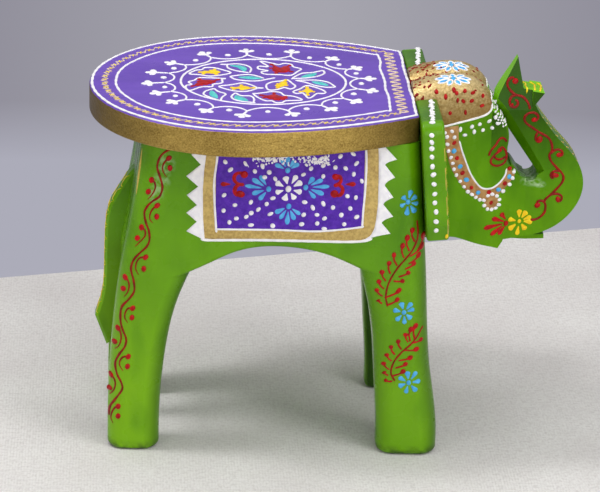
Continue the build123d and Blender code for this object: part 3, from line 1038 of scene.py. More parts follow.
# ---- palette ------------------------------------------------------------------------
class Palette:
    """The painter's pots, each made into a material once."""

    def __init__(self) -> None:
        """Mixes every colour."""
        self.white = DabPaint("white_enamel", srgb(253, 252, 253), srgb(240, 238, 244)).material()
        self.red = DabPaint("red_enamel", srgb(196, 8, 12), srgb(150, 4, 6)).material()
        self.red_line = DabPaint("red_line_enamel", srgb(160, 14, 4), srgb(118, 8, 2)).material()
        self.blue = DabPaint("blue_enamel", srgb(98, 190, 240), srgb(72, 162, 228)).material()
        self.yellow = DabPaint("yellow_enamel", srgb(255, 226, 34), srgb(244, 196, 20)).material()
        self.teal = DabPaint("teal_enamel", srgb(104, 216, 210), srgb(72, 190, 188)).material()
        self.gold_line = DabPaint("gold_line_enamel", srgb(244, 222, 96), srgb(222, 190, 74)).material()
        self.straw = DabPaint("straw_enamel", srgb(236, 218, 196), srgb(212, 184, 146)).material()
        self.violet = DabPaint("violet_enamel", srgb(94, 46, 182), srgb(76, 34, 160), 0.2).material()
        self.amber = DabPaint("amber_enamel", srgb(190, 146, 92), srgb(156, 116, 64)).material()
        self.gold = GoldPaint("blanket_gold", srgb(210, 182, 106), srgb(170, 140, 74), 500.0,
                              metal=0.25).material()
        self.pale_gold = GoldPaint("line_gold", srgb(226, 204, 92), srgb(190, 160, 60), metal=0.1).material()


# ---- seat ---------------------------------------------------------------------------
@dataclass
class Seat:
    """The painted seat: border scrolls, ring of scallops and the flower medallion."""

    palette: Palette
    centre_x: float = -64.75
    rear: float = 109.2
    half_width: float = 106.9
    front: float = 115.0
    front_half: float = 72.6
    top: float = 254.0
    outer_inset: float = 1.9
    inner_inset: float = 18.4
    scroll_inset: float = 10.6
    scroll_pitch: float = 8.6
    scroll_reach: float = 2.3           # half the wave's breadth along the sides
    front_extra: float = 1.1            # and how much more it has along the front
    front_from: float = 36.0            # X where the front's wave begins

    def build(self) -> None:
        """Finishes the board and paints its top."""
        dress("seat_board", SeatEnamel().material())
        self.board = FlatBoard(self.top)
        white = PaintLayer("seat_white_lines", self.palette.white, Slot.SEAT)
        white.add(stroke(self.board, self.wander(self.inset_line(self.outer_inset), 0.35), 2.0, closed=True,
                         step=1.6, wobble=0.16, seed=1))
        white.add(stroke(self.board, self.wander(self.inset_line(self.inner_inset), 0.75), 1.9, closed=True,
                         step=1.6, wobble=0.16, seed=2))
        self.ring(white)
        self.scrolls()
        self.medallion(white)
        white.build()

    def inset_line(self, inset: float) -> np.ndarray:
        """The board's outline moved inwards: half an ellipse, two parabolas and the front edge.

        Args:
            inset: distance in mm from the edge.

        Returns:
            Closed run of points, about 3 mm apart.
        """
        turn = np.linspace(np.pi / 2, 3 * np.pi / 2, 80)
        rear = np.stack([self.rear * np.cos(turn), self.half_width * np.sin(turn)], 1)
        along = np.linspace(0, self.front, 40)[1:]
        drop = (self.half_width - self.front_half) * (along / self.front) ** 2
        near = np.stack([along, drop - self.half_width], 1)
        edge = np.vstack([rear, near, (near * [1, -1])[::-1]])
        inner = edge + headings(edge)[1] * inset
        end = self.front - inset
        inner = inner[inner[:, 0] < end]
        limit = self.half_width - (self.half_width - self.front_half) * (end / self.front) ** 2 - inset
        corners = np.array([[end - 0.4, -limit + 0.4], [end, -limit + 2.0], [end, limit - 2.0],
                            [end - 0.4, limit - 0.4]])
        split = int(np.argmax(inner[:, 0]))
        keep = inner[:split + 1], inner[split + 1:]
        down = np.linspace(0, 1, 9)[1:-1, None]
        side = corners[1] * (1 - down) + corners[2] * down
        return np.vstack([keep[0], corners[:2], side, corners[2:], keep[1]]) + [self.centre_x, 0.0]

    @staticmethod
    def wander(line: np.ndarray, reach: float) -> np.ndarray:
        """The unsteady hand: every point moved by sines of its own place, up to a reach in mm.

        Args:
            line: the points.
            reach: the most that a sine moves them.

        Returns:
            The moved points.
        """
        x, y = line[:, 0], line[:, 1]
        drift = np.stack([np.sin(y / 7.1 + 0.6) + 0.4 * np.sin(y / 3.3), 0.4 * np.sin(x / 9.3)], 1)
        calm = 0.25 + 0.75 / (1 + np.exp(-(x - 20.0) / 4.0))
        return line + reach * calm[:, None] * drift

    def scrolls(self) -> None:
        """A wave all round the border, bolder along the front, and a dab of gold for every crest.

        The offset from the border's middle line is a sine of the way along it; along the
        sides the points also move forward and back by a sine of twice that phase, so that
        the crests lean.
        """
        wave = PaintLayer("seat_gold_scroll", self.palette.straw, Slot.SEAT)
        line = smooth(self.inset_line(self.scroll_inset), FINE_STEP, True)[:-1]
        ahead, side = headings(line, 5)
        count = int(len(line) * FINE_STEP / self.scroll_pitch)
        phase = np.arange(len(line)) * 2 * np.pi * count / len(line)
        front = 1 / (1 + np.exp(-(line[:, 0] - self.front_from) / 1.5))
        reach = self.scroll_reach + self.front_extra * front
        lean = (1 - front) * np.sin(2 * phase) * 0.9
        run = line + side * (reach * np.sin(phase))[:, None] + ahead * lean[:, None]
        start = int(np.argmax(front > 0.5))
        run_on, bold = np.roll(run, -start, 0), np.roll(front, -start) > 0.5
        across_front = int(np.argmin(bold))
        wave.add(stroke(self.board, run_on[:across_front + 1:3], 1.5, 0.55, step=0.8, wobble=0.2, seed=3))
        wave.add(stroke(self.board, run_on[across_front - 2::3], 0.95, 0.5, step=0.8, wobble=0.2, seed=4))
        wave.build()
        gold = PaintLayer("seat_gold_dabs", self.palette.gold_line, Slot.SEAT)
        crests = np.searchsorted(phase, np.pi / 2 + 2 * np.pi * np.arange(count - 1))
        for number, at in enumerate(crests):
            if front[at] > 0.5:
                path = [run[at] + side[at] * 0.4, run[at] - side[at] * 1.4]
            else:
                cross = (at + int(0.25 * self.scroll_pitch / FINE_STEP)) % len(line)
                path = [line[cross - 4] - side[cross] * 1.9, line[cross] - side[cross] * 0.2,
                        line[(cross + 4) % len(line)] + side[cross] * 1.7]
            gold.add(stroke(self.board, path, 1.45 + 0.3 * math.sin(number * 1.7), 0.65, Tip.LEAF, step=0.6,
                            seed=number))
        gold.build()

    def ring(self, white: PaintLayer) -> None:
        """Circle round the medallion, scallops outside it, a lily on every cusp and a dot in every bay.

        Args:
            white: the layer it is painted in.
        """
        around = np.linspace(0, 2 * np.pi, 61)[:-1]
        circle = np.stack([-52.8 + 57.6 * np.cos(around), -0.4 + 50.8 * np.sin(around)], 1)
        white.add(stroke(self.board, self.wander(circle, 0.3), 1.8, closed=True, step=1.6, seed=3))
        cusps = np.array([(-62, 60.5), (-31, 58), (-6.5, 46.5), (8, 28), (14.5, 7.5), (12, -16), (1, -37.5),
                          (-15, -53), (-38.5, -64), (-66.5, -65), (-89, -58.5), (-108, -41.5), (-117.5, -24),
                          (-121.5, -4), (-118.5, 17.5), (-107, 36.5), (-88, 54)])
        lilies = np.array([(-62, 70), (-29.5, 68.5), (-1, 53), (14.5, 31), (22, 7), (21.5, -20), (9, -43.5),
                           (-9, -60.5), (-36, -71.5), (-70, -74.5), (-94.5, -65), (-117, -46.5),
                           (-127.5, -27), (-133, -5.5), (-130, 19), (-116.5, 41), (-92.5, 63)])
        middle = np.array([-53.0, 0.0])
        for number, (a, b) in enumerate(zip(cusps, np.roll(cusps, -1, 0))):
            chord = (a + b) / 2
            inward = (middle - chord) / np.linalg.norm(middle - chord)
            bow = 0.24 * np.linalg.norm(b - a)
            arc = [a, 0.78 * a + 0.22 * b + inward * bow * 0.72, chord + inward * bow,
                   0.22 * a + 0.78 * b + inward * bow * 0.72, b]
            white.add(stroke(self.board, arc, 1.55, seed=number))
            white.add(dabs(self.board, [chord - inward * 2.2], 2.2, seed=number))
            self.lily(white, a, lilies[number], number)

    def lily(self, white: PaintLayer, foot: np.ndarray, head: np.ndarray, seed: int) -> None:
        """Stalk and three broad lobes.

        Args:
            white: the layer.
            foot, head: ends of the stalk.
            seed: of the brush's unsteadiness.
        """
        ahead = (head - foot) / np.linalg.norm(head - foot)
        side = left_of(ahead)
        white.add(stroke(self.board, [foot, (foot + head) / 2, head], 2.0, seed=seed))
        for spread, reach, wide in ((0.06, 8.8, 4.9), (0.86, 7.2, 4.5), (-0.80, 7.4, 4.6)):
            lean = ahead * math.cos(spread) + side * math.sin(spread)
            start = head - ahead * 3.6
            white.add(stroke(self.board, [start, start + lean * reach * 0.6, start + lean * reach], wide, 0.6,
                             Tip.BULB, wobble=0.1, seed=seed))

    def medallion(self, white: PaintLayer) -> None:
        """Leaves and flowers in the circle, each a coloured heart in a white outline.

        Args:
            white: the layer of the outlines.
        """
        teal = PaintLayer("seat_teal_leaves", self.palette.teal, Slot.SEAT)
        red = PaintLayer("seat_red_flowers", self.palette.red, Slot.SEAT)
        yellow = PaintLayer("seat_yellow_flowers", self.palette.yellow, Slot.SEAT)
        leaves = [
            ([(-82, 38), (-77, 38), (-70, 39.5), (-63.5, 36), (-60.3, 29), (-61.5, 19.5)],
             [(-62, 19), (-71, 23.5), (-76.5, 30), (-77, 37)], [(-75, 36), (-68, 33), (-65.5, 27),
                (-65.5, 22)], 6.0),
            ([(-76, 10.5), (-69, 13.5), (-62, 14.8), (-56.5, 11.5), (-52, 6.5)],
             [(-76, 10.5), (-72, 4), (-64, 0.6), (-56, 1), (-50, 4.5), (-44, 8)],
             [(-70, 9), (-62, 8), (-53.5, 6)], 7.0),
            ([(-33, 5), (-29.5, 12), (-24.5, 18.5), (-17, 20.5), (-9.5, 25.5)],
             [(-32, 6), (-22, 8), (-13.5, 12.5), (-9, 19), (-9.5, 25.5)], [(-26, 9.5), (-20, 13.5),
                (-14.5, 19)], 6.4),
            ([(-30.5, 2), (-22, 3), (-14, 2.5), (-7, -2.5), (-3, -12.5)],
             [(-30, 2), (-23.5, -2), (-17, -9), (-9.5, -12.8), (-3, -12.5)], [(-19, 0), (-13, -4), (-8, -9)],
             6.4),
            ([(-87.5, -16.5), (-93.5, -22.5), (-95, -29.5), (-90.5, -36.5), (-84, -43.5)],
             [(-87.5, -16.5), (-85, -23), (-80, -28.5), (-82.5, -35.5), (-84, -43.5)],
             [(-89.5, -21), (-88.5, -30), (-86, -38)], 5.6),
            ([(-73, -26), (-76, -33), (-75, -39.5), (-69.5, -44.5), (-60, -47.5)],
             [(-73, -26), (-69.5, -32), (-63, -33), (-60.8, -39), (-61.5, -47)],
             [(-73, -31.5), (-70.5, -38), (-65, -43)], 7.2),
        ]
        for number, (one, two, heart, wide) in enumerate(leaves):
            white.add(stroke(self.board, one, 1.6, seed=number), stroke(self.board, two, 1.6,
                    seed=number + 9))
            teal.add(stroke(self.board, heart, wide, 0.35, Tip.LEAF, seed=number))
        reds = [
            ([(-53, 45.5), (-46.5, 42.5), (-40.5, 38), (-36.5, 41), (-31.5, 39), (-30, 33), (-25, 28.5),
              (-28, 22), (-33, 13.8), (-41, 15), (-51, 16.2), (-53.2, 21.5), (-48.5, 24), (-55, 28),
              (-54.5, 34), (-48, 33.5)],
             [(-45.5, 38.5), (-42.5, 34), (-39.5, 30.5), (-36, 36.5), (-32.5, 36.5), (-31, 29), (-32, 22),
              (-37, 17.5), (-43, 19), (-47, 23), (-46.5, 30)]),
            ([(-79, 5.5), (-90, 7), (-97.5, 7), (-101, 1.5), (-105, -2.5), (-103, -8), (-107, -11),
              (-105, -21.5), (-96.5, -13.5), (-89, -12.5), (-88, -7.5), (-81.8, -4), (-81.5, 4)],
             [(-97.5, 4.5), (-90, 4), (-84.5, 3), (-84.5, -3), (-89.5, -5.5), (-91.5, -10), (-96.5, -9.5),
              (-99.5, -13.5), (-102.5, -11.5), (-101.5, -6), (-98.5, -1)]),
            ([(-61, -27.5), (-58, -36), (-53, -43), (-48.8, -43), (-46, -47), (-41.5, -46.5), (-39, -43),
              (-28, -41), (-33, -33.5), (-39.5, -31), (-42, -25), (-47.5, -23), (-53.5, -25.5),
              (-59.5, -27.5)],
             [(-55.5, -31), (-51.5, -30), (-46.5, -26.5), (-42.5, -30.5), (-38.5, -34), (-35, -38),
              (-40.5, -40), (-43.5, -44.5), (-46.5, -41), (-51, -40.5), (-54, -36)]),
        ]
        yellows = [
            ([(-104, 16), (-100, 23.5), (-95, 26), (-93, 30), (-87, 30.3), (-81, 26), (-75, 19), (-81, 14),
              (-90, 11), (-97, 14)],
             [(-97, 20), (-94.5, 24), (-91.5, 20.5), (-90, 26), (-86, 26.5), (-80, 20.5), (-85, 15.5),
              (-91, 17), (-94.5, 16)]),
            ([(-84, -12), (-76, -8.5), (-71.5, -6), (-67, -4), (-62, -8), (-58, -14), (-59, -17.5),
              (-65, -22.5), (-72, -22.5), (-78, -19)],
             [(-75.5, -14.5), (-71.5, -12), (-68.5, -9), (-64, -10.5), (-60, -15), (-64, -19), (-68.5, -19.5),
              (-71.5, -17), (-74.5, -18)]),
            ([(-36, 3.5), (-40, 1), (-46.5, -1.5), (-51, -8), (-50, -19), (-44, -18.5), (-39, -14),
              (-34.5, -17), (-31, -11), (-33, -4)],
             [(-37, 3), (-40.5, 0), (-43.5, -5.5), (-46.5, -10), (-43.5, -14.5), (-40, -13), (-36.5, -9),
              (-35, -2)]),
            ([(-23, -9.5), (-28, -16.5), (-33, -22.5), (-31, -27), (-26.5, -26), (-23.5, -36.5), (-20.5, -34),
              (-17, -27), (-12, -26.5), (-11, -22), (-16, -14.5)],
             [(-23, -13), (-26, -18), (-28.5, -22.5), (-25.5, -24), (-23.5, -30), (-21.5, -25), (-18.5, -23),
              (-19, -18)]),
        ]
        for layer, shapes in ((red, reds), (yellow, yellows)):
            for number, (outline, heart) in enumerate(shapes):
                white.add(stroke(self.board, outline, 1.6, closed=True, seed=number))
                middle = np.mean(heart, 0)
                ends = grown(heart, middle, 1.12)
                layer.add(blob(self.board, grown(heart, middle, 0.84), 0.45),
                          *petals(self.board, tuple(middle), ends[::2], 3.2, 0.45, 0.5, number))
            layer.build()
        white.add(stroke(self.board, [(-58, -15), (-53, -15)], 2.6, seed=4))
        teal.build()


# ---- brush motifs -------------------------------------------------------------------
def resampled(points: Points, count: int) -> np.ndarray:
    """A run of straight stretches with a given number of points, evenly many on each stretch.

    Args:
        points: its corners.
        count: points wanted.

    Returns:
        The points, one row each.
    """
    p = np.asarray(points, float)
    want = np.linspace(0, len(p) - 1, count)
    return np.stack([np.interp(want, np.arange(len(p)), p[:, k]) for k in (0, 1)], 1)


def between(surface: SurfaceMap, one: np.ndarray, two: np.ndarray, height: float, rows: int = 6) -> Part:
    """A coat of paint between two lines of equally many points, straight from one to the other.

    Args:
        surface: the painted face.
        one, two: the lines.
        height: thickness of the coat in mm.
        rows: points from line to line.

    Returns:
        The coat.
    """
    def place(s: np.ndarray, t: np.ndarray) -> np.ndarray:
        """Mean of the two lines' points.

        Args:
            s: weight of the second line.
            t: share of the way along them.

        Returns:
            The points.
        """
        at = t * (len(one) - 1)
        ends = [np.stack([np.interp(at, np.arange(len(one)), line[:, k]) for k in (0, 1)], -1)
                for line in (one, two)]
        return ends[0] * (1 - s[..., None]) + ends[1] * s[..., None]
    return panel(surface, place, rows, len(one), height)


def petals(surface: SurfaceMap, centre: tuple[float, float], tips: Points, width: float, start: float = 0.3,
           height: float = 0.55, seed: int = 0) -> list[Part]:
    """Teardrops whose thin ends point to a centre and whose round ends lie at the tips.

    Args:
        surface: what they are painted on.
        centre: where they point.
        tips: middles of their round ends.
        width: width of the round ends in mm.
        start: share of the way out at which the thin ends begin.
        height: thickness in mm.
        seed: picks the small differences between them.

    Returns:
        One part for each.
    """
    made = []
    for number, tip in enumerate(np.asarray(tips, float)):
        run = tip - centre
        size = 1 + 0.12 * math.sin(seed + 2.3 * number)
        made.append(stroke(surface, [centre + run * start, centre + run * 0.65, tip + run * 0.04],
                           width * size, height, Tip.BULB, step=0.6, wobble=0.0))
    return made


# ---- flanks -------------------------------------------------------------------------
@dataclass
class Flanks:
    """Both sides of the body: the saddle blanket, the vines of the rear legs, the ferns of the front legs."""

    palette: Palette
    seat_underside: float = 234.6
    line: float = 1.15

    def build(self) -> None:
        """Paints the right side and mirrors it to the left."""
        self.face = SurfaceMap("right_flank", Facing.RIGHT, (-172.0, 76.0, 4.0, 234.8))
        self.blanket()
        self.blanket_flowers()
        self.legs()

    def blanket(self) -> None:
        """Gold band, purple cloth in a white line, and white teeth down both sides."""
        top = self.seat_underside
        gold = PaintLayer("blanket_gold_band", self.palette.gold, Slot.BODY)
        band = ([(-95.4, 163.4), (-96.6, 178), (-97.0, 200), (-96.2, 214), (-95.0, 224), (-95.6, top)],
                [(11.0, 164.3), (16.0, 165.3), (20.4, 168.4), (22.8, 173.6), (23.8, 180), (24.7, 191),
                 (24.6, 210), (24.2, 226), (23.6, top)])
        gold.both(between(self.face, resampled(band[0], 61), resampled(band[1], 61), 0.18, 90))
        cloth = PaintLayer("blanket_purple_cloth", self.palette.violet, Slot.BODY)
        hem = resampled([(-87.2, 170.9), (-67, 171), (-47, 171.2), (-35, 171), (-17, 170.8), (1.7, 172.8),
                         (13.6, 174.9)], 81)
        upper = np.stack([hem[:, 0], np.full(len(hem), top)], 1)
        cloth.both(between(self.face, upper, hem, 0.38, 46))
        white = PaintLayer("blanket_white", self.palette.white, Slot.BODY)
        for path, wide in (([(-86.2, 232), (-86.6, 221), (-88.3, 206), (-88, 192), (-87, 177),
                             (-86.4, 168.2)], 1.8),
                           ([(-87.6, 170.8), (-67, 171), (-47, 171.2), (-35, 171), (-17, 170.8),
                             (1.7, 172.8), (14.6, 174.9)], 1.8),
                           ([(13.2, 174.6), (13.6, 187), (14.5, 202), (14.8, 220), (14.2, 232)], 1.7),
                           ([(-97.2, 163.4), (-92, 162.6), (-74, 163), (-53, 163.4), (-19, 163.4),
                             (2, 163.4), (14.2, 164.2), (20.5, 166.2)], 2.1)):
            white.both(stroke(self.face, path, wide, 0.6, seed=int(wide * 7)))
        left_edge = [
            (-98, 233.6), (-103.9, 224.4), (-97.6, 217.5), (-107.4, 209), (-99.2, 201.6), (-106.9, 195.2),
            (-99.9, 188.1), (-107.1, 182.4), (-99.9, 176), (-107, 168.9), (-94.4, 162.6)]
        right_edge = [
            (26.6, 233.6), (35.4, 224), (27.5, 219.9), (34.6, 211), (27.7, 205), (33.9, 196.5),
            (27.2, 191.2), (34.2, 182.6), (26.5, 177.7), (32.8, 170.1), (14.6, 163.6)]
        white.both(self.teeth(left_edge, band[0], 1.0, 1.0), self.teeth(right_edge, band[1], -1.2, 1.9))
        gold.build()
        cloth.build()
        self.white = white

    def teeth(self, edge: Points, band: Points, tuck: float, hollow: float) -> Part:
        """Filled zigzag between its points and the edge of the gold band.

        The edge runs straight down to a valley from the tip above it, and comes out to the
        next tip as a power of the way down, which rounds the valley.

        Args:
            edge: valleys and tips by turns, from the top down, a valley first.
            band: the band's edge, from the bottom up.
            tuck: how far in X the root goes under the band.
            hollow: the power; 1 is straight.

        Returns:
            The part.
        """
        corners, steps = np.asarray(edge, float), 6
        share = np.linspace(0, 1, steps, endpoint=False)[:, None]
        runs = []
        for number, (one, two) in enumerate(zip(corners[:-1], corners[1:])):
            run = one + (two - one) * share
            if number % 2:
                run[:, 0] = two[0] + (one[0] - two[0]) * (1 - share[:, 0]) ** hollow
            runs.append(run)
        zigzag = np.vstack(runs + [corners[-1:]])
        root = np.asarray(band, float)
        base = np.stack([np.interp(zigzag[:, 1], root[:, 1], root[:, 0]) + tuck, zigzag[:, 1]], 1)
        return between(self.face, base, zigzag, 0.42, 5)

    def blanket_flowers(self) -> None:
        """White daisy, four blue fans, two red tridents, scattered dots and painted glare specks on the
        cloth.
        """
        white, face = self.white, self.face
        blue = PaintLayer("blanket_blue_fans", self.palette.blue, Slot.BODY)
        red = PaintLayer("blanket_red_tridents", self.palette.red, Slot.BODY)
        daisy = (-37.8, 201.2)
        tips = [(-29.6, 199.2), (-29.6, 206), (-32.8, 210.2), (-39.8, 209.4), (-45.6, 205.4),
                (-45.6, 198.6), (-40.2, 193.6), (-33.6, 194.6)]
        outer = grown(tips, daisy, 1.10)
        white.both(*petals(face, daisy, outer, 5.2, 0.34, 0.7), dabs(face, [daisy], 2.4, 0.9))
        fans = [
            (
                (-51.2, 200.9),
                [(-56.9, 209.9), (-61.8, 207.6), (-66.2, 202.9), (-61.8, 197.4), (-57.2, 193.4)]),
            (
                (-26.0, 202.6),
                [(-21, 209.6), (-15.2, 208.2), (-11, 203.6), (-14.4, 198.2), (-19.8, 195.4)]),
            (
                (-37.3, 188.6),
                [(-46, 184), (-42.8, 179.9), (-38.2, 176.2), (-33.4, 179.4), (-29.8, 183.2)]),
            (
                (-38.5, 214.7),
                [(-46.6, 218.7), (-43.2, 222.6), (-38.7, 224.2), (-34.2, 221.8), (-31.4, 219.4)])]
        for number, (foot, ends) in enumerate(fans):
            outer = grown(ends, foot, 1.06)
            blue.both(*petals(face, foot, outer, 4.5, 0.12, 0.6, number), dabs(face, [foot], 2.1, 0.8))
        curls = [
            ([(-84.4, 203.7), (-79.5, 203.8), (-75, 203.9)], 4.4, Tip.TAIL),
            ([(-67.4, 210.9), (-70.1, 212.1), (-73.2, 211.5), (-74.8, 209), (-74.3, 206.1), (-71.7, 204),
              (-67.6, 203.7)], 3.4, Tip.EVEN),
            ([(-70.7, 204), (-73.4, 202.1), (-74.3, 199.2), (-73.3, 196.5), (-70.9, 195.5)], 3.8, Tip.EVEN),
            ([(8.4, 205.8), (4.2, 205.6), (-1.2, 205.3)], 4.6, Tip.TAIL),
            ([(-5.4, 211.6), (-2.8, 210.6), (-2.2, 207.7), (-4, 205.4), (-7.3, 203.8)], 3.6, Tip.EVEN),
            ([(-4, 205.1), (-1.2, 203), (-1, 199.7), (-3, 197.4), (-6.6, 197.6)], 3.6, Tip.EVEN),
        ]
        for number, (path, wide, tip) in enumerate(curls):
            red.both(stroke(face, path, wide, 0.6, tip, step=0.7, seed=number))
        red.both(dabs(face, [(-68, 211), (-70.4, 196.8), (-5.8, 210.6), (-6.4, 198.4)], 2.9))
        dots = [
            (-81, 219.8), (-77.4, 214.3), (-60.8, 213.5), (-55.7, 217.2), (-51.1, 213), (-54.1, 209.4),
            (-46.9, 208.3), (-81.5, 195.8), (-74, 188.8), (-63.2, 191.1), (-81.7, 184.5), (-77.6, 176.1),
            (-72.9, 179), (-66.1, 180.4), (-62.8, 183.2), (-58, 185.9), (-52.4, 190), (-48.2, 194.3),
            (-49.7, 182.8), (-62.9, 174.4), (-48, 174.2), (-67.4, 218.9), (-14.5, 218.6), (-22.7, 216.3),
            (-27.8, 211.9), (-14.3, 210.9), (-6.2, 217.5), (0.8, 217), (-3, 225.6), (5.6, 227.5),
            (8, 220.7), (6.4, 212.9), (12, 208.1), (2.5, 196.9), (8.3, 196), (4.7, 188),
            (-7.1, 188.4), (-1.3, 183.1), (9.3, 181.9), (0.9, 176.4), (-13.8, 191.1), (-26.5, 191.9),
            (-20.9, 188), (-17.9, 182.9), (-12.7, 180.3), (-27, 182.7), (-28.2, 175.8), (-17.6, 176.6),
            (-12.7, 172.8), (-13.2, 224.4), (-58.7, 224.5), (-46, 228), (-26, 227)]
        # painted highlights: a band of fine white specks under the seat where the gloss catches the lamps
        rng = np.random.default_rng(12)
        across = np.concatenate([rng.uniform(-66.0, -8.0, 110), rng.normal(-46.0, 6.0, 60),
                                 rng.normal(-20.0, 6.0, 50)])
        hang = 222.6 - 0.0012 * (across + 37) ** 2
        glare_specks = np.stack([across, hang + rng.normal(0, 1.8, len(across))], 1)
        radii = rng.uniform(0.4, 1.2, len(across))
        white.both(dabs(face, glare_specks, radii, 0.7, count=7, ragged=0.5, seed=4))
        white.both(dabs(face, dots, 1.8, 1.0, ragged=0.25, seed=8))
        for layer in (white, blue, red):
            layer.build()

    def legs(self) -> None:
        """Red vine down the rear leg; blue flowers and red ferns down the front leg."""
        face, line = self.face, self.line
        red = PaintLayer("leg_red_drops", self.palette.red, Slot.BODY)
        thread = PaintLayer("leg_red_vines", self.palette.red_line, Slot.BODY)
        blue = PaintLayer("leg_blue_flowers", self.palette.blue, Slot.BODY)
        stem = [
            (-117.6, 228.4), (-122.3, 225.7), (-125.5, 221.8), (-127.2, 215.3), (-125.8, 209.7),
            (-124.1, 204.1), (-123.6, 199.3), (-125.5, 193.8), (-130, 190.3), (-133.4, 186.8),
            (-135.7, 181.8), (-134.9, 175.4), (-132.6, 168.3), (-132.2, 161.7), (-134.1, 156.8),
            (-139, 151.7), (-143, 146.4), (-144.8, 139.6), (-143, 131.6), (-142.5, 123.6), (-146, 117.4),
            (-151, 110.3), (-152, 101.1), (-150.5, 93.5), (-148, 86.7), (-149, 80.4), (-153, 73.6),
            (-155.5, 66.8), (-154.5, 59), (-151, 51.5), (-151, 46.4), (-155, 39.5), (-159.1, 31.6),
            (-160.2, 23.4)]
        thread.both(stroke(face, stem, line + 0.4, 0.5, wobble=0.12))
        curls = [
            (
                [(-120.7, 207.8), (-123, 211.4), (-123.5, 215.4), (-121.9, 219), (-119.3, 221.5)],
                (-118.5, 214.5)),
            (
                [(-130, 174.2), (-131.9, 176.8), (-131.9, 180.5), (-130, 184.6), (-127, 187.1)],
                (-127.3, 179.0)),
            (
                [(-139.5, 135.8), (-141.5, 139.8), (-141, 144.9), (-138.5, 148.5), (-134.8, 149)],
                (-136, 140.4)),
            ([(-147, 99), (-149, 102.9), (-148.5, 107), (-146.5, 110.2), (-143.5, 110.4)], (-144, 103.3)),
            ([(-150, 61.4), (-152.5, 65.6), (-152, 69.8), (-149.5, 72.7), (-146.5, 72.9)], (-147, 65.2)),
            ([(-157, 19.2), (-158.6, 23), (-157.5, 28.6), (-155.5, 32.3), (-153.5, 33.4)], (-153.5, 25.8)),
            (
                [(-133.5, 191.2), (-130.5, 195.1), (-128.4, 200), (-129, 204), (-130.9, 205.5)],
                (-133.1, 196.9)),
            (
                [(-142.1, 156.3), (-138.3, 160.6), (-135.2, 164.9), (-135.4, 168.9), (-137.6, 170.7)],
                (-140.4, 162.6)),
            ([(-149.5, 118.2), (-147, 122.3), (-146, 127.4), (-147, 131.2), (-148.7, 132.6)], (-150, 124)),
            ([(-156, 77), (-153, 80.7), (-151.5, 86.2), (-152, 91.1), (-153.7, 93.6)], (-156, 82.4)),
            ([(-159.6, 40.3), (-156.5, 45.7), (-155.5, 50.6), (-156.5, 54.3), (-158.6, 56)], (-159.6, 45.3))]
        for number, (path, dot) in enumerate(curls):
            thread.both(stroke(face, path, line + 0.35, 0.5, Tip.GROW, step=0.8, seed=number))
            red.both(self.drop(path[-1], 2.0, 0.75 + 0.1 * number), self.drop(dot, 1.95, 1.6 - 0.07 * number))
        flowers = [((44, 193.4), [(45.6, 200.7), (49.2, 196.6), (50.3, 191.4), (48.7, 186.4), (43.5, 185),
                                  (39.5, 190.5), (40.5, 197)]),
                   ((44.1, 111.5), [(42.1, 118.1), (48.6, 118), (50.2, 113.8), (48.7, 107.3), (44.7, 103.8),
                                    (39.6, 105.9), (37.6, 113)]),
                   ((49.5, 56.9), [(48.4, 64.6), (54, 64.5), (56.6, 58.1), (54.5, 51.2), (48, 49.7),
                                   (43.5, 54.3), (43.4, 60.5)])]
        for number, (middle, tips) in enumerate(flowers):
            outer = grown(tips, middle, 1.12)
            blue.both(*petals(face, middle, outer, 3.9, 0.34, 0.6, number), dabs(face, [middle], 1.9))
        self.fern(red, thread, [(32.6, 115.6), (31.1, 123.8), (33, 133.9), (38, 144), (44, 152),
                                (49.1, 159.7),
                        (51.8, 168), (50.8, 179.5)],
                  [(48.1, 173.7, 49.6, 164.5), (45, 168.5, 46, 158), (42, 162.5, 42.5, 153),
                   (36, 155.5, 38, 147), (33, 149, 33.5, 141), (28, 142.5, 30.5, 135.4),
                   (26, 135.4, 29.5, 129.3), (24.6, 128.6, 28.6, 123.7), (26.1, 120.4, 28.6, 118)],
                  [(55.8, 168.2, 52.8, 159.9), (55.6, 161.1, 49.1, 155.7), (53.3, 155.3, 48, 150),
                   (50.1, 149.2, 45.5, 145.5), (46.5, 142.4, 41.5, 139.4), (43, 135.8, 38, 135.2),
                   (40.6, 129.3, 33.1, 124.2), (39.6, 122.2, 34.1, 118.1)])
        self.fern(red, thread, [(39.9, 57.9), (36.9, 64.1), (38.4, 72.4), (43.3, 80.1), (49.3, 86.3),
                                (53.3, 91.6),
                        (55.9, 96.2), (58.1, 100)],
                  [(53.3, 101.9, 52.3, 91.7), (50.2, 99.6, 49.3, 89.9), (46.2, 95.1, 47.8, 88.9),
                   (41.2, 89.9, 43.3, 83.2), (36.3, 85.3, 38.8, 79.1), (33.4, 78.8, 36.8, 73.9),
                   (31.5, 71.7, 35.4, 67.1), (32, 64.4, 35, 62.3), (33, 58.4, 37.9, 57.9)],
                  [(57.6, 90.6, 52.3, 88.7), (54.9, 83.8, 47.8, 82.7), (50.8, 77.6, 44.3, 75),
                   (47.4, 72.4, 41.9, 69.3), (45.9, 66.7, 39.9, 63.1)])
        for layer in (red, thread, blue):
            layer.build()

    def drop(self, middle: tuple[float, float], size: float, lean: float) -> Part:
        """An oval dab: an ellipse a third longer than wide, leaning by an angle in radians.

        Args:
            middle: its place in mm.
            size: half its breadth in mm.
            lean: the angle.

        Returns:
            The dab.
        """
        turn = np.linspace(0, 2 * np.pi, 15)[:-1]
        along, across = 1.22 * size * np.cos(turn), 0.92 * size * np.sin(turn)
        x = middle[0] + along * math.cos(lean) - across * math.sin(lean)
        z = middle[1] + along * math.sin(lean) + across * math.cos(lean)
        return blob(self.face, np.stack([x, z], 1), 0.75, 14)

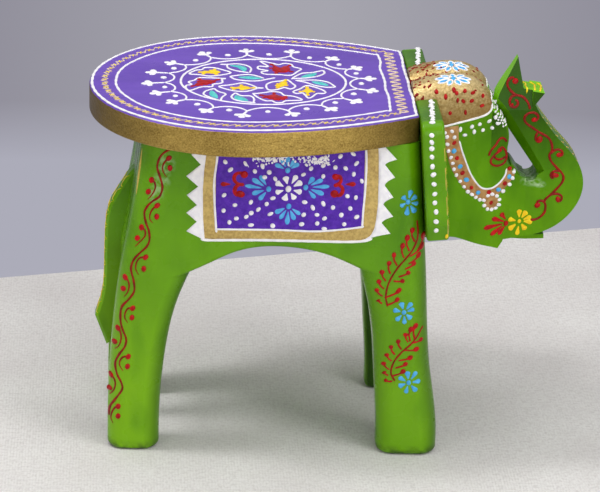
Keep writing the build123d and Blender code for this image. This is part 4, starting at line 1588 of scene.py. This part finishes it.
    def fern(self, red: PaintLayer, thread: PaintLayer, stem: Points, left: Sequence[tuple[float, ...]],
             right: Sequence[tuple[float, ...]]) -> None:
        """A curved stem with curling leaves.

        Args:
            red: the layer for the leaves.
            thread: the layer for the stem.
            stem: its run from the foot up.
            left: tip and base of each leaf on the rear side.
            right: the same on the front side.
        """
        thread.both(stroke(self.face, stem, self.line + 0.25, 0.5, wobble=0.1))
        for side, leaves in ((1.0, left), (-1.0, right)):
            for number, (tip_x, tip_z, base_x, base_z) in enumerate(leaves):
                base, tip = np.array([base_x, base_z]), np.array([tip_x, tip_z])
                run = tip - base
                out = left_of(run) * side
                path = [base - run * (0.05 if side > 0 else 0.38), base + run * 0.5 + out * 0.14,
                        tip + run * 0.12]
                red.both(stroke(self.face, path, 3.6, 0.7, Tip.PIN, step=0.4, wobble=0.1, seed=number))


# ---- head ---------------------------------------------------------------------------
@dataclass
class Head:
    """Head and trunk: cap edge, bridle, eyes, cheek flowers, trunk vine, and the flowers on the domes."""

    palette: Palette

    def build(self) -> None:
        """Paints the right side, mirrors it to the left, then the top and the front."""
        self.side = SurfaceMap("head_and_trunk", Facing.RIGHT, (60.0, 176.0, 134.0, 274.0), 0.7)
        self.crown = SurfaceMap("head_and_trunk", Facing.TOP, (50.0, 146.0, -38.0, 38.0), 0.7)
        self.brow = SurfaceMap("head_and_trunk", Facing.FRONT, (-36.0, 36.0, 140.0, 262.0), 0.7)
        self.white = PaintLayer("head_white", self.palette.white, Slot.BODY)
        self.red = PaintLayer("head_red", self.palette.red, Slot.BODY)
        self.thread = PaintLayer("head_red_lines", self.palette.red_line, Slot.BODY)
        self.blue = PaintLayer("head_blue", self.palette.blue, Slot.BODY)
        self.yellow = PaintLayer("head_yellow", self.palette.yellow, Slot.BODY)
        self.cap_edge()
        self.bridle()
        self.eye()
        self.cheek()
        self.trunk_vine()
        self.trunk_combs()
        self.dome_flowers()
        for layer in (self.white, self.red, self.thread, self.blue, self.yellow):
            layer.build()

    def cap_edge(self) -> None:
        """White line round the gold cap and two rows of dots under it, on over the forehead."""
        self.white.both(stroke(self.side, [(70.6, 233.2), (80, 234.6), (90, 236), (98, 237.4),
                                          (102.8, 239.2), (105.2, 242.2), (105.6, 246)], 1.6, 0.6))
        across = np.stack([np.full(19, 105.2), np.linspace(-21.5, 21.5, 19)], 1)
        self.white.add(stroke(self.crown, across[::3], 0.8, 0.35), dabs(self.crown, across, 0.7, 0.5, seed=2))
        rows = [(72, 228.6), (77, 229.2), (83.1, 229.8), (91.4, 230.8), (97, 231.9), (103.9, 233.4),
                (79, 224.6), (86.5, 225.3), (93.2, 226.9), (99.5, 227.4), (106.2, 228.2), (110.2, 231),
                (108.3, 235.6)]
        self.white.both(dabs(self.side, rows, 1.55, 0.85, ragged=0.25, seed=3))
        specks = [
            (107.9, 241.7), (108.4, 239.4), (110.1, 237.6), (109.2, 236.4), (111.3, 235.2), (112.6, 236.6),
            (110.5, 233.6), (112.8, 232.9), (113.7, 234.6), (114.9, 232.3), (111.9, 231), (113.9, 230.7),
            (116, 231), (116.3, 229), (114.4, 228.4), (110.3, 240), (109.4, 243.6), (107.4, 246)]
        self.white.both(dabs(self.side, specks, 0.85, 0.6, ragged=0.25, seed=11))

    def bridle(self) -> None:
        """Amber cheek band with red and blue dots, a white inner line and pearls along the outside."""
        amber = PaintLayer("bridle_band", self.palette.amber, Slot.BODY)
        outer = smooth([(70.2, 232.4), (72, 222), (74, 213), (77, 203), (81, 195.6), (86, 187.6), (92, 181),
                        (99, 176.2), (108, 174.5), (116, 180.6), (121, 185.8), (125.4, 192.4)], 1.0)
        inner = smooth([(81.6, 233), (82.5, 221), (85, 213.6), (88, 205.6), (91, 198), (95, 190.8),
                        (100, 184.8), (104.5, 183.2), (109, 183.6), (114, 187), (117.5, 192), (118.7, 197.2)],
                        1.0)
        count = 96
        lines = [line[np.linspace(0, len(line) - 1, count).astype(int)] for line in (outer, inner)]
        amber.both(between(self.side, lines[0], lines[1], 0.22, 7))
        turn = np.linspace(0, 2 * np.pi, 25)[:-1]
        disc = np.stack([108.2 + 5.6 * np.cos(turn), 172.6 + 5.4 * np.sin(turn)], 1)
        amber.both(blob(self.side, disc, 0.35))
        amber.build()
        line = [(82.6, 221.6), (85, 213.6), (88, 205.6), (91, 198), (95, 190.8), (100, 184.8), (104.5, 183.2),
                (109, 183.6), (114, 187), (117.5, 192), (118.3, 196.6)]
        self.white.both(stroke(self.side, line, 1.35, 0.6))
        pearls = [
            (73.5, 225.5), (74, 220), (75, 215), (77, 210), (78.5, 205.5), (79.5, 201), (81.5, 196.5),
            (84.5, 191.5), (87.5, 187), (90.5, 183), (93.5, 180.5), (96.5, 178), (99.5, 175.8), (116.5, 180),
            (121, 184.5), (123, 189), (123.8, 193.5), (102.5, 175), (103, 171), (105.5, 168), (108.5, 167.3),
            (111.5, 168), (113.7, 170.2), (114, 174), (112, 177), (108.5, 178.7), (105.3, 178)]
        self.white.both(dabs(self.side, pearls, 1.55, 0.9, ragged=0.18, seed=5))
        reds = [(79, 220.5), (81.5, 209), (86, 197.5), (93, 185.7), (106, 180.6), (117.5, 185.7),
                (108, 172.5), (120.5, 196.4)]
        blues = [(79, 214.5), (84, 202.5), (89, 192), (98, 181.3), (113, 181.6), (120.5, 190.4)]
        self.red.both(dabs(self.side, reds, 1.75, 0.8, seed=2))
        self.blue.both(dabs(self.side, blues, 1.9, 0.8, seed=4))

    def eye(self) -> None:
        """Almond eye drawn with a brush: lid, rim, lower arc and a drop for the pupil."""
        lines = [([(104.8, 207.6), (105.5, 210.2), (107, 212.5), (109.4, 215.1), (111.6, 218.5),
                   (113.6, 219.9), (115.7, 219), (117.6, 216.6)], False),
                 ([(113.9, 212.9), (116.6, 210.6), (117.8, 207.2), (117.6, 203.6), (116, 200.9),
                   (112.9, 199.6), (109.7, 199.8), (107.1, 201.4), (106.4, 204.2), (108.5, 207.2),
                   (111.2, 209.9)], True),
                 ([(108.2, 207.8), (109.5, 205.6), (111.9, 204.1), (115.1, 204.5), (117.2, 206.1)], False)]
        for number, (path, ring) in enumerate(lines):
            self.thread.both(stroke(self.side, path, 1.75, 0.5, closed=ring, step=0.7, seed=number))
        self.red.both(stroke(self.side, [(110.4, 208.4), (111.8, 210), (113.6, 212.2)], 3.6, 0.7, Tip.BULB,
                            step=0.5))

    def cheek(self) -> None:
        """Red half-flower and yellow flower low on the cheek."""
        fan = [((103.4, 153.6), (117.0, 155.2)), ((109.2, 160.4), (118.2, 157.0)),
               ((115.6, 163.6), (119.4, 158.4)), ((108.6, 147.8), (117.2, 153.8)),
               ((114.4, 147.4), (118.8, 153.2))]
        for number, (tip, base) in enumerate(fan):
            middle = (np.asarray(tip) + base) / 2
            self.red.both(stroke(self.side, [base, middle, tip], 3.9, 0.6, Tip.BULB, step=0.6, seed=number))
        self.red.both(dabs(self.side, [(119.8, 155.4)], 2.0, 0.8))
        tips = [(129.3, 164.2), (134.6, 162.4), (138, 158.4), (138.8, 154.6), (134.6, 149),
                (128.5, 145.6), (122.4, 150.4), (121.8, 158.2)]
        self.yellow.both(*petals(self.side, (129.7, 155.4), tips, 4.2, 0.36),
                        dabs(self.side, [(129.7, 155.6)], 1.5))

    def trunk_vine(self) -> None:
        """Red vine up the side of the trunk with hooked shoots."""
        lines = [
            [
                (137.5, 156), (141.4, 156.6), (144.9, 158.6), (147.6, 162.2), (148, 167),
                (147.1, 170.6), (150.8, 174.8), (155.8, 180.1), (159.4, 185.6), (159, 190.4),
                (154.6, 195.3), (150.4, 200.1), (148.9, 204.8), (150.6, 208.8), (149.7, 214.1),
                (146.8, 218.2), (141.4, 221.4), (135.9, 225.1), (131.2, 228.6), (129.9, 231.6),
                (130.9, 234.2), (133.2, 235.9), (136.3, 236.2), (138.7, 234.8), (139.6, 232.7),
                (138.5, 230.6), (136.4, 229.8)],
            [
                (133.6, 238.4), (132.9, 241), (131.4, 244), (129, 246.5), (126.3, 247.7),
                (123.6, 248.2), (121.2, 249.7), (118.9, 252), (117.5, 254.5), (117.5, 257),
                (118.9, 259.2), (121, 260), (122.6, 258.8)],
            [
                (123.7, 247.9), (121.2, 247.6), (119.5, 245.5), (119.2, 242.9), (120, 240.7),
                (122.1, 239.8), (124.3, 240.8), (125, 242.9), (124.2, 244.6), (122.6, 244.4)],
            [(139.8, 221.9), (138.8, 219.4), (138.6, 216.6), (140, 214.6), (142.2, 214.8)],
            [(149.5, 205.4), (151.5, 207.8), (154.4, 209), (157.2, 208), (158, 205.4), (156.6, 203.8)],
            [(156.4, 192.5), (153.2, 193), (150.8, 191), (151, 188.4), (153, 187.2)],
            [(150.2, 174.4), (153, 175.6), (156, 175.8), (158.8, 174.4), (159.3, 171.8), (157.6, 169.8)],
            [(147.4, 168.6), (146.4, 170.2), (143.6, 170.6), (141.2, 169.4)]]
        for number, path in enumerate(lines):
            self.thread.both(stroke(self.side, path, 1.85, 0.55, step=0.8, wobble=0.1, seed=number))
        bulbs = [(136.6, 231.0, 2.0), (122.9, 257.6, 2.3), (141.4, 216.4, 2.4), (155.7, 204.9, 2.0),
                 (153.7, 189.8, 2.6), (156.6, 171.6, 2.2), (142.2, 167.2, 2.3), (121.0, 241.6, 1.2)]
        self.red.both(dabs(self.side, [b[:2] for b in bulbs], [b[2] for b in bulbs], 0.6, ragged=0.2, seed=3))

    def trunk_combs(self) -> None:
        """Yellow strokes across the front of the trunk and over the finger, joined at one side."""
        combs = PaintLayer("trunk_gold_combs", self.palette.pale_gold, Slot.BODY)
        for number, z in enumerate(np.arange(158.0, 236.0, 4.6)):
            lean = 0.8 * math.sin(number * 1.9)
            combs.both(stroke(self.brow, [(-11.9, z + 1.6), (-8.0, z + lean), (-3.5, z - 1.8)], 1.3, 0.15,
                             Tip.LEAF, seed=number))
        combs.build()
        for number, (near, middle, far) in enumerate(((131.0, 130.8, 129.0), (136.6, 137.4, 136.0),
                                                      (140.4, 141.8, 141.2))):
            path = [(near, -9.8), (near + 0.4, -7.0), (middle, -1.5), (middle + 0.6, 3.4), (far + 0.4, 7.0),
                    (far - 1.2, 8.6)]
            self.yellow.add(stroke(self.crown, path, 1.5, 0.5, seed=number))

    def dome_flowers(self) -> None:
        """White and blue flower on each dome and dark red dots all over the cap."""
        turn = np.arange(9) * 2 * np.pi / 9 + 0.2
        for centre in (np.array([77.8, -21.0]), np.array([79.4, 8.6])):
            for number, angle in enumerate(turn):
                run = np.array([11.8 * math.cos(angle), 5.7 * math.sin(angle)])
                side = left_of(run) / np.linalg.norm(run) * 1.8
                outline = [centre + run * 0.28, centre + run * 0.62 + side, centre + run * 1.08,
                           centre + run * 0.62 - side]
                self.white.add(stroke(self.crown, outline, 0.95, 0.45, closed=True, step=0.7, seed=number))
                self.blue.add(stroke(self.crown, [centre + run * 0.4, centre + run * 0.7,
                                                  centre + run * 0.98], 2.3,
                                     0.4, Tip.LEAF, step=0.7, seed=number))
            self.blue.add(dabs(self.crown, [centre], 2.0, 0.7))
        upper = [
            (60.6, -25.6), (54.5, -21.7), (92.9, -28.2), (57.9, -15.4), (63.9, -11.5), (55.7, -6.9),
            (61.5, -3), (95.2, -7.4), (98.6, -19), (88.4, -9.6), (80.6, -7.4), (72, -6.4), (66.4, -6.6),
            (52.6, -13), (52.4, -27.4), (56.4, -30.6), (98, -12), (84, -3.6), (75.4, -1.6)]
        rng = np.random.default_rng(31)
        small = np.stack([rng.uniform(50.0, 68.0, 26), rng.uniform(-32.0, -1.0, 26)], 1)
        self.thread.both(dabs(self.crown, upper, 0.95, 0.6, ragged=0.4, seed=6),
                        dabs(self.crown, small, rng.uniform(0.7, 1.05, 26), 0.5, count=8, ragged=0.2, seed=9))
        lower = [(65.5, 256.7), (71.8, 254.1), (77.6, 258.2), (79.4, 256.4), (85.2, 257.4), (91.1, 255.6),
                 (80.2, 251.4), (84.3, 250.3), (90.5, 249.8), (98.1, 245.4), (75.2, 242.6), (86.3, 241.9),
                 (98.4, 252.6)]
        self.red.both(dabs(self.side, lower, 1.55, 0.7, ragged=0.3, seed=7))


# ---- ears ---------------------------------------------------------------------------
@dataclass
class Ears:
    """Ear boards: white dabs along their narrow edges, gold line, and a border on the broad front."""

    palette: Palette
    rake: float = math.tan(math.radians(4.6))
    rear_at_top: float = 50.25
    thick: float = 15.55

    def build(self) -> None:
        """Paints the right ear and mirrors it to the left."""
        edge = SurfaceMap("right_ear", Facing.RIGHT, (48.0, 76.0, 166.0, 253.0), 0.7)
        crest = SurfaceMap("right_ear", Facing.TOP, (48.0, 76.0, -89.0, -34.0), 0.7)
        front = SurfaceMap("right_ear", Facing.FRONT, (-89.0, -34.0, 166.0, 253.0), 0.7)
        white = PaintLayer("ear_white_dots", self.palette.white, Slot.BODY)
        yellow = PaintLayer("ear_yellow_lines", self.palette.yellow, Slot.BODY)
        red = PaintLayer("ear_red_flowers", self.palette.red, Slot.BODY)
        y = np.linspace(-38.5, -82.5, 12)
        for near in (True, False):
            x = 61.3 + (y + 38.0) * 0.067 if near else 58.9 - (y + 38.0) * 0.087
            row = dabs(crest, np.stack([x + 0.5 * np.sin(y), y], 1), 1.85, 0.85, ragged=0.35, seed=1)
            white.add(row if near else mirrored(row))
        down = [(57.4, 245), (57.6, 240), (57.8, 235.6), (58.1, 229.6), (58.7, 222.7), (59.6, 216.9),
                (60.3, 210), (61, 202.9), (61.3, 196.6), (62.4, 190), (62.7, 182.9), (63.1, 176.1)]
        white.both(dabs(edge, down, 1.9, 0.95, ragged=0.15, seed=2))
        gold = PaintLayer("ear_gold_lines", self.palette.pale_gold, Slot.BODY)
        for top, foot in ((236.0, 226.0), (222.0, 205.0), (201.0, 187.0), (184.5, 170.5)):
            z = np.linspace(top, foot, 5)
            gold.both(stroke(edge, np.stack([self.front_x(z) - 0.9, z], 1), 0.55, 0.3, wobble=0.3))
        gold.build()
        yellow.both(dabs(edge, [(self.front_x(171.0) - 1.8, 171.0)], 1.5, ragged=0.3))
        self.broad_face(front, white, yellow, red)
        for layer in (white, yellow, red):
            layer.build()

    def front_x(self, z: np.ndarray) -> np.ndarray:
        """X of the raked front face at a height."""
        return self.rear_at_top + self.thick + (254.0 - z) * self.rake

    def broad_face(self, front: SurfaceMap, white: PaintLayer, yellow: PaintLayer, red: PaintLayer) -> None:
        """Scalloped yellow border, a row of white dots inside it and one red flower.

        Args:
            front: the face.
            white, yellow, red: the layers.
        """
        border = resampled([(-42, 171.5), (-80, 171.5), (-83.4, 180), (-83.4, 236), (-76, 247), (-42, 247)],
                           31)
        for number, (a, b) in enumerate(zip(border[:-1], border[1:])):
            run = b - a
            inward = -left_of(run) / np.linalg.norm(run) * 3.2
            yellow.both(stroke(front, [a, (a + b) / 2 + inward * 0.9, b], 1.0, 0.45, seed=number))
        inner = resampled([(-46, 178.5), (-75.5, 178.5), (-76.5, 184), (-76.5, 232), (-71.5, 240),
                           (-46, 240)], 22)
        white.both(dabs(front, inner, 1.3, 0.8, seed=9))
        middle = (-60.0, 210.0)
        turn = np.arange(8) * np.pi / 4
        tips = np.stack([middle[0] + 9.0 * np.cos(turn), middle[1] + 9.0 * np.sin(turn)], 1)
        red.both(*petals(front, middle, tips, 3.6, 0.35))
        white.both(dabs(front, [middle], 1.8, 0.9))


# ---- tail ---------------------------------------------------------------------------
@dataclass
class Tail:
    """Tail slat: yellow scallops down both corners of its rear edge, gold line on the rump beside it."""

    palette: Palette

    def build(self) -> None:
        """Paints both sides."""
        rear = SurfaceMap("tail", Facing.REAR, (-8.0, 8.0, 57.0, 193.0), 0.6)
        yellow = PaintLayer("tail_yellow_scallops", self.palette.yellow, Slot.BODY)
        places = np.arange(186.0, 82.0, -9.5)
        for number, z in enumerate(places):
            reach = 8.5 + 0.8 * math.sin(number * 2.1)
            yellow.both(stroke(rear, [(-6.2, z), (-3.4, z - reach * 0.3), (-3.2, z - reach * 0.7),
                                     (-6.2, z - reach)],
                              0.8, 0.3, Tip.LEAF, step=0.8, wobble=0.3, seed=number))
        yellow.build()
        flank = SurfaceMap("right_flank", Facing.RIGHT, (-150.0, -130.0, 170.0, 234.8))
        gold = PaintLayer("rump_gold_stroke", self.palette.pale_gold, Slot.BODY)
        gold.both(stroke(flank, [(-137.4, 226), (-139, 212), (-141.4, 192)], 1.3, 0.3, Tip.LEAF))
        gold.build()


# ---- helpers for the frame's own nodes ----------------------------------------------
def dress(node: str, material: Material) -> None:
    """Gives one of the frame's nodes its finish.

    Args:
        node: its name.
        material: the finish.
    """
    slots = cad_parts[node].data.materials
    slots.clear()
    slots.append(material)
    LOG.info("%s: %s", node, material.name)


# ---- studio -------------------------------------------------------------------------
@dataclass
class Studio:
    """Cloth-covered table, plain backdrop light, lamps and the camera."""

    camera_at: tuple[float, float, float] = (-0.14927, -2.05832, 0.92496)
    look_at: tuple[float, float, float] = (-0.02446, 0.0, 0.13095)
    roll: float = 1.363
    lens: float = 186.13
    sky: Colour = srgb(166, 165, 174)
    sky_edge: Colour = srgb(143, 141, 153)
    sky_low: Colour = srgb(172, 172, 185)
    ambient: float = 0.30
    lamp_aim: Place = (0.0, 0.0, 0.12)
    lamps: tuple[tuple[str, Place, float, float], ...] = (   # name, place, size, power
        ("key", (-0.66, -0.08, 1.60), 0.20, 4.7),
        ("second_key", (-1.05, -0.10, 1.45), 0.35, 5.0),
        ("overhead", (0.0, 0.0, 1.90), 1.2, 8.0),
        ("left_front", (-0.9, -1.0, 1.5), 0.6, 1.7),
        ("right_front", (0.9, -0.9, 1.4), 0.6, 9.2),
        ("low_front", (0.45, -2.4, 0.6), 1.6, 17.5))
    table_near: float = -1.25            # ends short of the low lamp, which would bleach it

    def build(self) -> None:
        """Sets the whole studio up."""
        self.table()
        self.backdrop()
        for name, at, size, power in self.lamps:
            self.lamp(name, at, self.lamp_aim, size, power)
        self.camera()
        bpy.context.scene.view_settings.view_transform = "Standard"

    def lamp(self, name: str, at: Place, to: Place, size: float, power: float) -> None:
        """A square soft lamp.

        Args:
            name: what it is called.
            at: its place in metres.
            to: the point it is aimed at.
            size: its side in metres.
            power: in watts.
        """
        light = bpy.data.lights.new(name, "AREA")
        light.size, light.energy = size, power
        made = bpy.data.objects.new(name, light)
        made.location = at
        aim = Vector(to) - Vector(at)
        made.rotation_euler = aim.to_track_quat("-Z", "Y").to_euler()
        bpy.context.scene.collection.objects.link(made)

    def camera(self) -> None:
        """The camera, level but for a slight roll."""
        data = bpy.data.cameras.new("camera")
        data.lens, data.sensor_width = self.lens, 36.0
        made = bpy.data.objects.new("camera", data)
        aim = Vector(self.look_at) - Vector(self.camera_at)
        turn = aim.to_track_quat("-Z", "Y").to_matrix().to_4x4()
        made.matrix_world = (Matrix.Translation(self.camera_at) @ turn
                             @ Matrix.Rotation(math.radians(self.roll), 4, "Z"))
        bpy.context.scene.collection.objects.link(made)
        bpy.context.scene.camera = made

    def table(self) -> None:
        """Table top: a level sheet that ends in a straight edge behind the stool."""
        near = self.table_near
        corners = np.array([(-3.0, near, 0.0), (3.0, near, 0.0), (3.0, 1.02, 0.0), (-3.0, -0.37, 0.0)])
        mesh = bpy.data.meshes.new("table")
        mesh.from_pydata(corners.tolist(), [], [(0, 1, 2, 3)])
        made = bpy.data.objects.new("table", mesh)
        bpy.context.scene.collection.objects.link(made)
        w = Wiring("table_cloth")
        weave = []
        for direction in "XY":
            bands = w.node("ShaderNodeTexWave", wave_type="BANDS", bands_direction=direction)
            w.join(w.place, bands.inputs["Vector"])
            bands.inputs["Scale"].default_value = 150.0
            bands.inputs["Distortion"].default_value = 1.2
            weave.append(bands.outputs[1])
        threads = w.math("MULTIPLY", *weave)
        soft = w.noise(9.0, 3.0)
        colour = w.blend(w.span(soft, 0.35, 0.7), srgb(227, 223, 222), srgb(238, 236, 234))
        fibre = w.math("MULTIPLY", w.noise(420.0, 3.0, (0.5, 1.0, 1.0)), w.noise(640.0, 2.0, (1.0, 0.4, 1.0)))
        colour = w.blend(w.span(fibre, 0.18, 0.38, 0.0, 0.50), colour, srgb(194, 188, 186))
        colour = w.blend(w.math("MULTIPLY", threads, 0.25), colour, srgb(200, 194, 194))
        w.feed(w.shader.inputs["Base Color"], colour)
        w.shader.inputs["Roughness"].default_value = 0.85
        w.relief(threads, 0.25, 0.0006)
        w.relief(soft, 0.35, 0.004)
        mesh.materials.append(w.material)

    def backdrop(self) -> None:
        """World: even soft light on the object, a pale grey-lilac wall for the camera and in a gloss."""
        world = bpy.data.worlds.new("studio")
        bpy.context.scene.world = world
        world.use_nodes = True
        tree = world.node_tree
        tree.nodes.clear()
        out = tree.nodes.new("ShaderNodeOutputWorld")
        even = tree.nodes.new("ShaderNodeBackground")
        even.inputs["Color"].default_value = (1.0, 0.99, 0.98, 1.0)
        even.inputs["Strength"].default_value = self.ambient
        wall = tree.nodes.new("ShaderNodeBackground")
        wall.inputs["Strength"].default_value = 1.0
        towards = tree.nodes.new("ShaderNodeTexCoord").outputs["Generated"]
        split = tree.nodes.new("ShaderNodeSeparateXYZ")
        tree.links.new(towards, split.inputs[0])
        bow = self.ramp(tree, split.outputs[0], (-0.055, 0.045, 0.065, 0.165), (self.sky_edge, self.sky,
                self.sky,
                                                                                self.sky_edge))
        low = tree.nodes.new("ShaderNodeMapRange")
        low.inputs["From Min"].default_value = -0.316
        low.inputs["From Max"].default_value = -0.334
        tree.links.new(split.outputs[2], low.inputs["Value"])
        both = tree.nodes.new("ShaderNodeMix")
        both.data_type = "RGBA"
        tree.links.new(low.outputs["Result"], both.inputs[0])
        tree.links.new(bow, both.inputs[6])
        both.inputs[7].default_value = (*self.sky_low, 1.0)
        tree.links.new(both.outputs[2], wall.inputs["Color"])
        rays = tree.nodes.new("ShaderNodeLightPath")
        seen = tree.nodes.new("ShaderNodeMath")
        seen.operation = "MAXIMUM"
        tree.links.new(rays.outputs["Is Camera Ray"], seen.inputs[0])
        tree.links.new(rays.outputs["Is Glossy Ray"], seen.inputs[1])
        mix = tree.nodes.new("ShaderNodeMixShader")
        tree.links.new(seen.outputs[0], mix.inputs[0])
        tree.links.new(even.outputs[0], mix.inputs[1])
        tree.links.new(wall.outputs[0], mix.inputs[2])
        tree.links.new(mix.outputs[0], out.inputs[0])

    def ramp(self, tree: bpy.types.NodeTree, value: Socket, places: Sequence[float],
             colours: Sequence[Colour]) -> Socket:
        """Colour that changes evenly between given places of a value.

        Args:
            tree: the node tree.
            value: what the colour follows.
            places: values of the stops, rising.
            colours: one for each stop.

        Returns:
            The colour.
        """
        reach = tree.nodes.new("ShaderNodeMapRange")
        reach.inputs["From Min"].default_value, reach.inputs["From Max"].default_value = places[0], places[-1]
        tree.links.new(value, reach.inputs["Value"])
        ramp = tree.nodes.new("ShaderNodeValToRGB")
        while len(ramp.color_ramp.elements) < len(places):
            ramp.color_ramp.elements.new(0.5)
        for stop, place, colour in zip(ramp.color_ramp.elements, places, colours):
            stop.position = (place - places[0]) / (places[-1] - places[0])
            stop.color = (*colour, 1.0)
        tree.links.new(reach.outputs["Result"], ramp.inputs[0])
        return ramp.outputs[0]


def main() -> None:
    """Builds the studio and each sub-assembly in turn."""
    logging.basicConfig(level=logging.INFO, format="%(name)s %(message)s")
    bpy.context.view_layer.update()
    Studio().build()
    palette = Palette()
    green = BodyEnamel("green_enamel_body", painted_highlights=((-121.0, 217.0, 7.0), (-124.0, 206.0, 7.0),
                                                    (-128.0, 195.0, 6.0))).material()
    for node in ("body_core", "left_flank", "right_flank", "left_ear", "right_ear", "tail"):
        dress(node, green)
    gold = GoldPaint("cap_gold", srgb(232, 208, 148), srgb(160, 130, 76), 620.0)
    dress("head_and_trunk", BodyEnamel("green_enamel_head", srgb(95, 151, 6), srgb(68, 121, 4), gold=gold,
                                      painted_highlights=((136.4, 185.4, 8.5), (143.0, 183.0, 5.5)), highlight_strength=0.75, flat=1.9,
                                      specular=0.10).material())
    wood = PlainWood().material()
    for node in ("flank_dowels", "seat_dowels", "head_dowels", "ear_dowels"):
        dress(node, wood)
    dress("tail_pins", PinSteel().material())
    for assembly in (Seat(palette), Flanks(palette), Head(palette), Ears(palette), Tail(palette)):
        assembly.build()


if __name__ == "__main__":
    main()
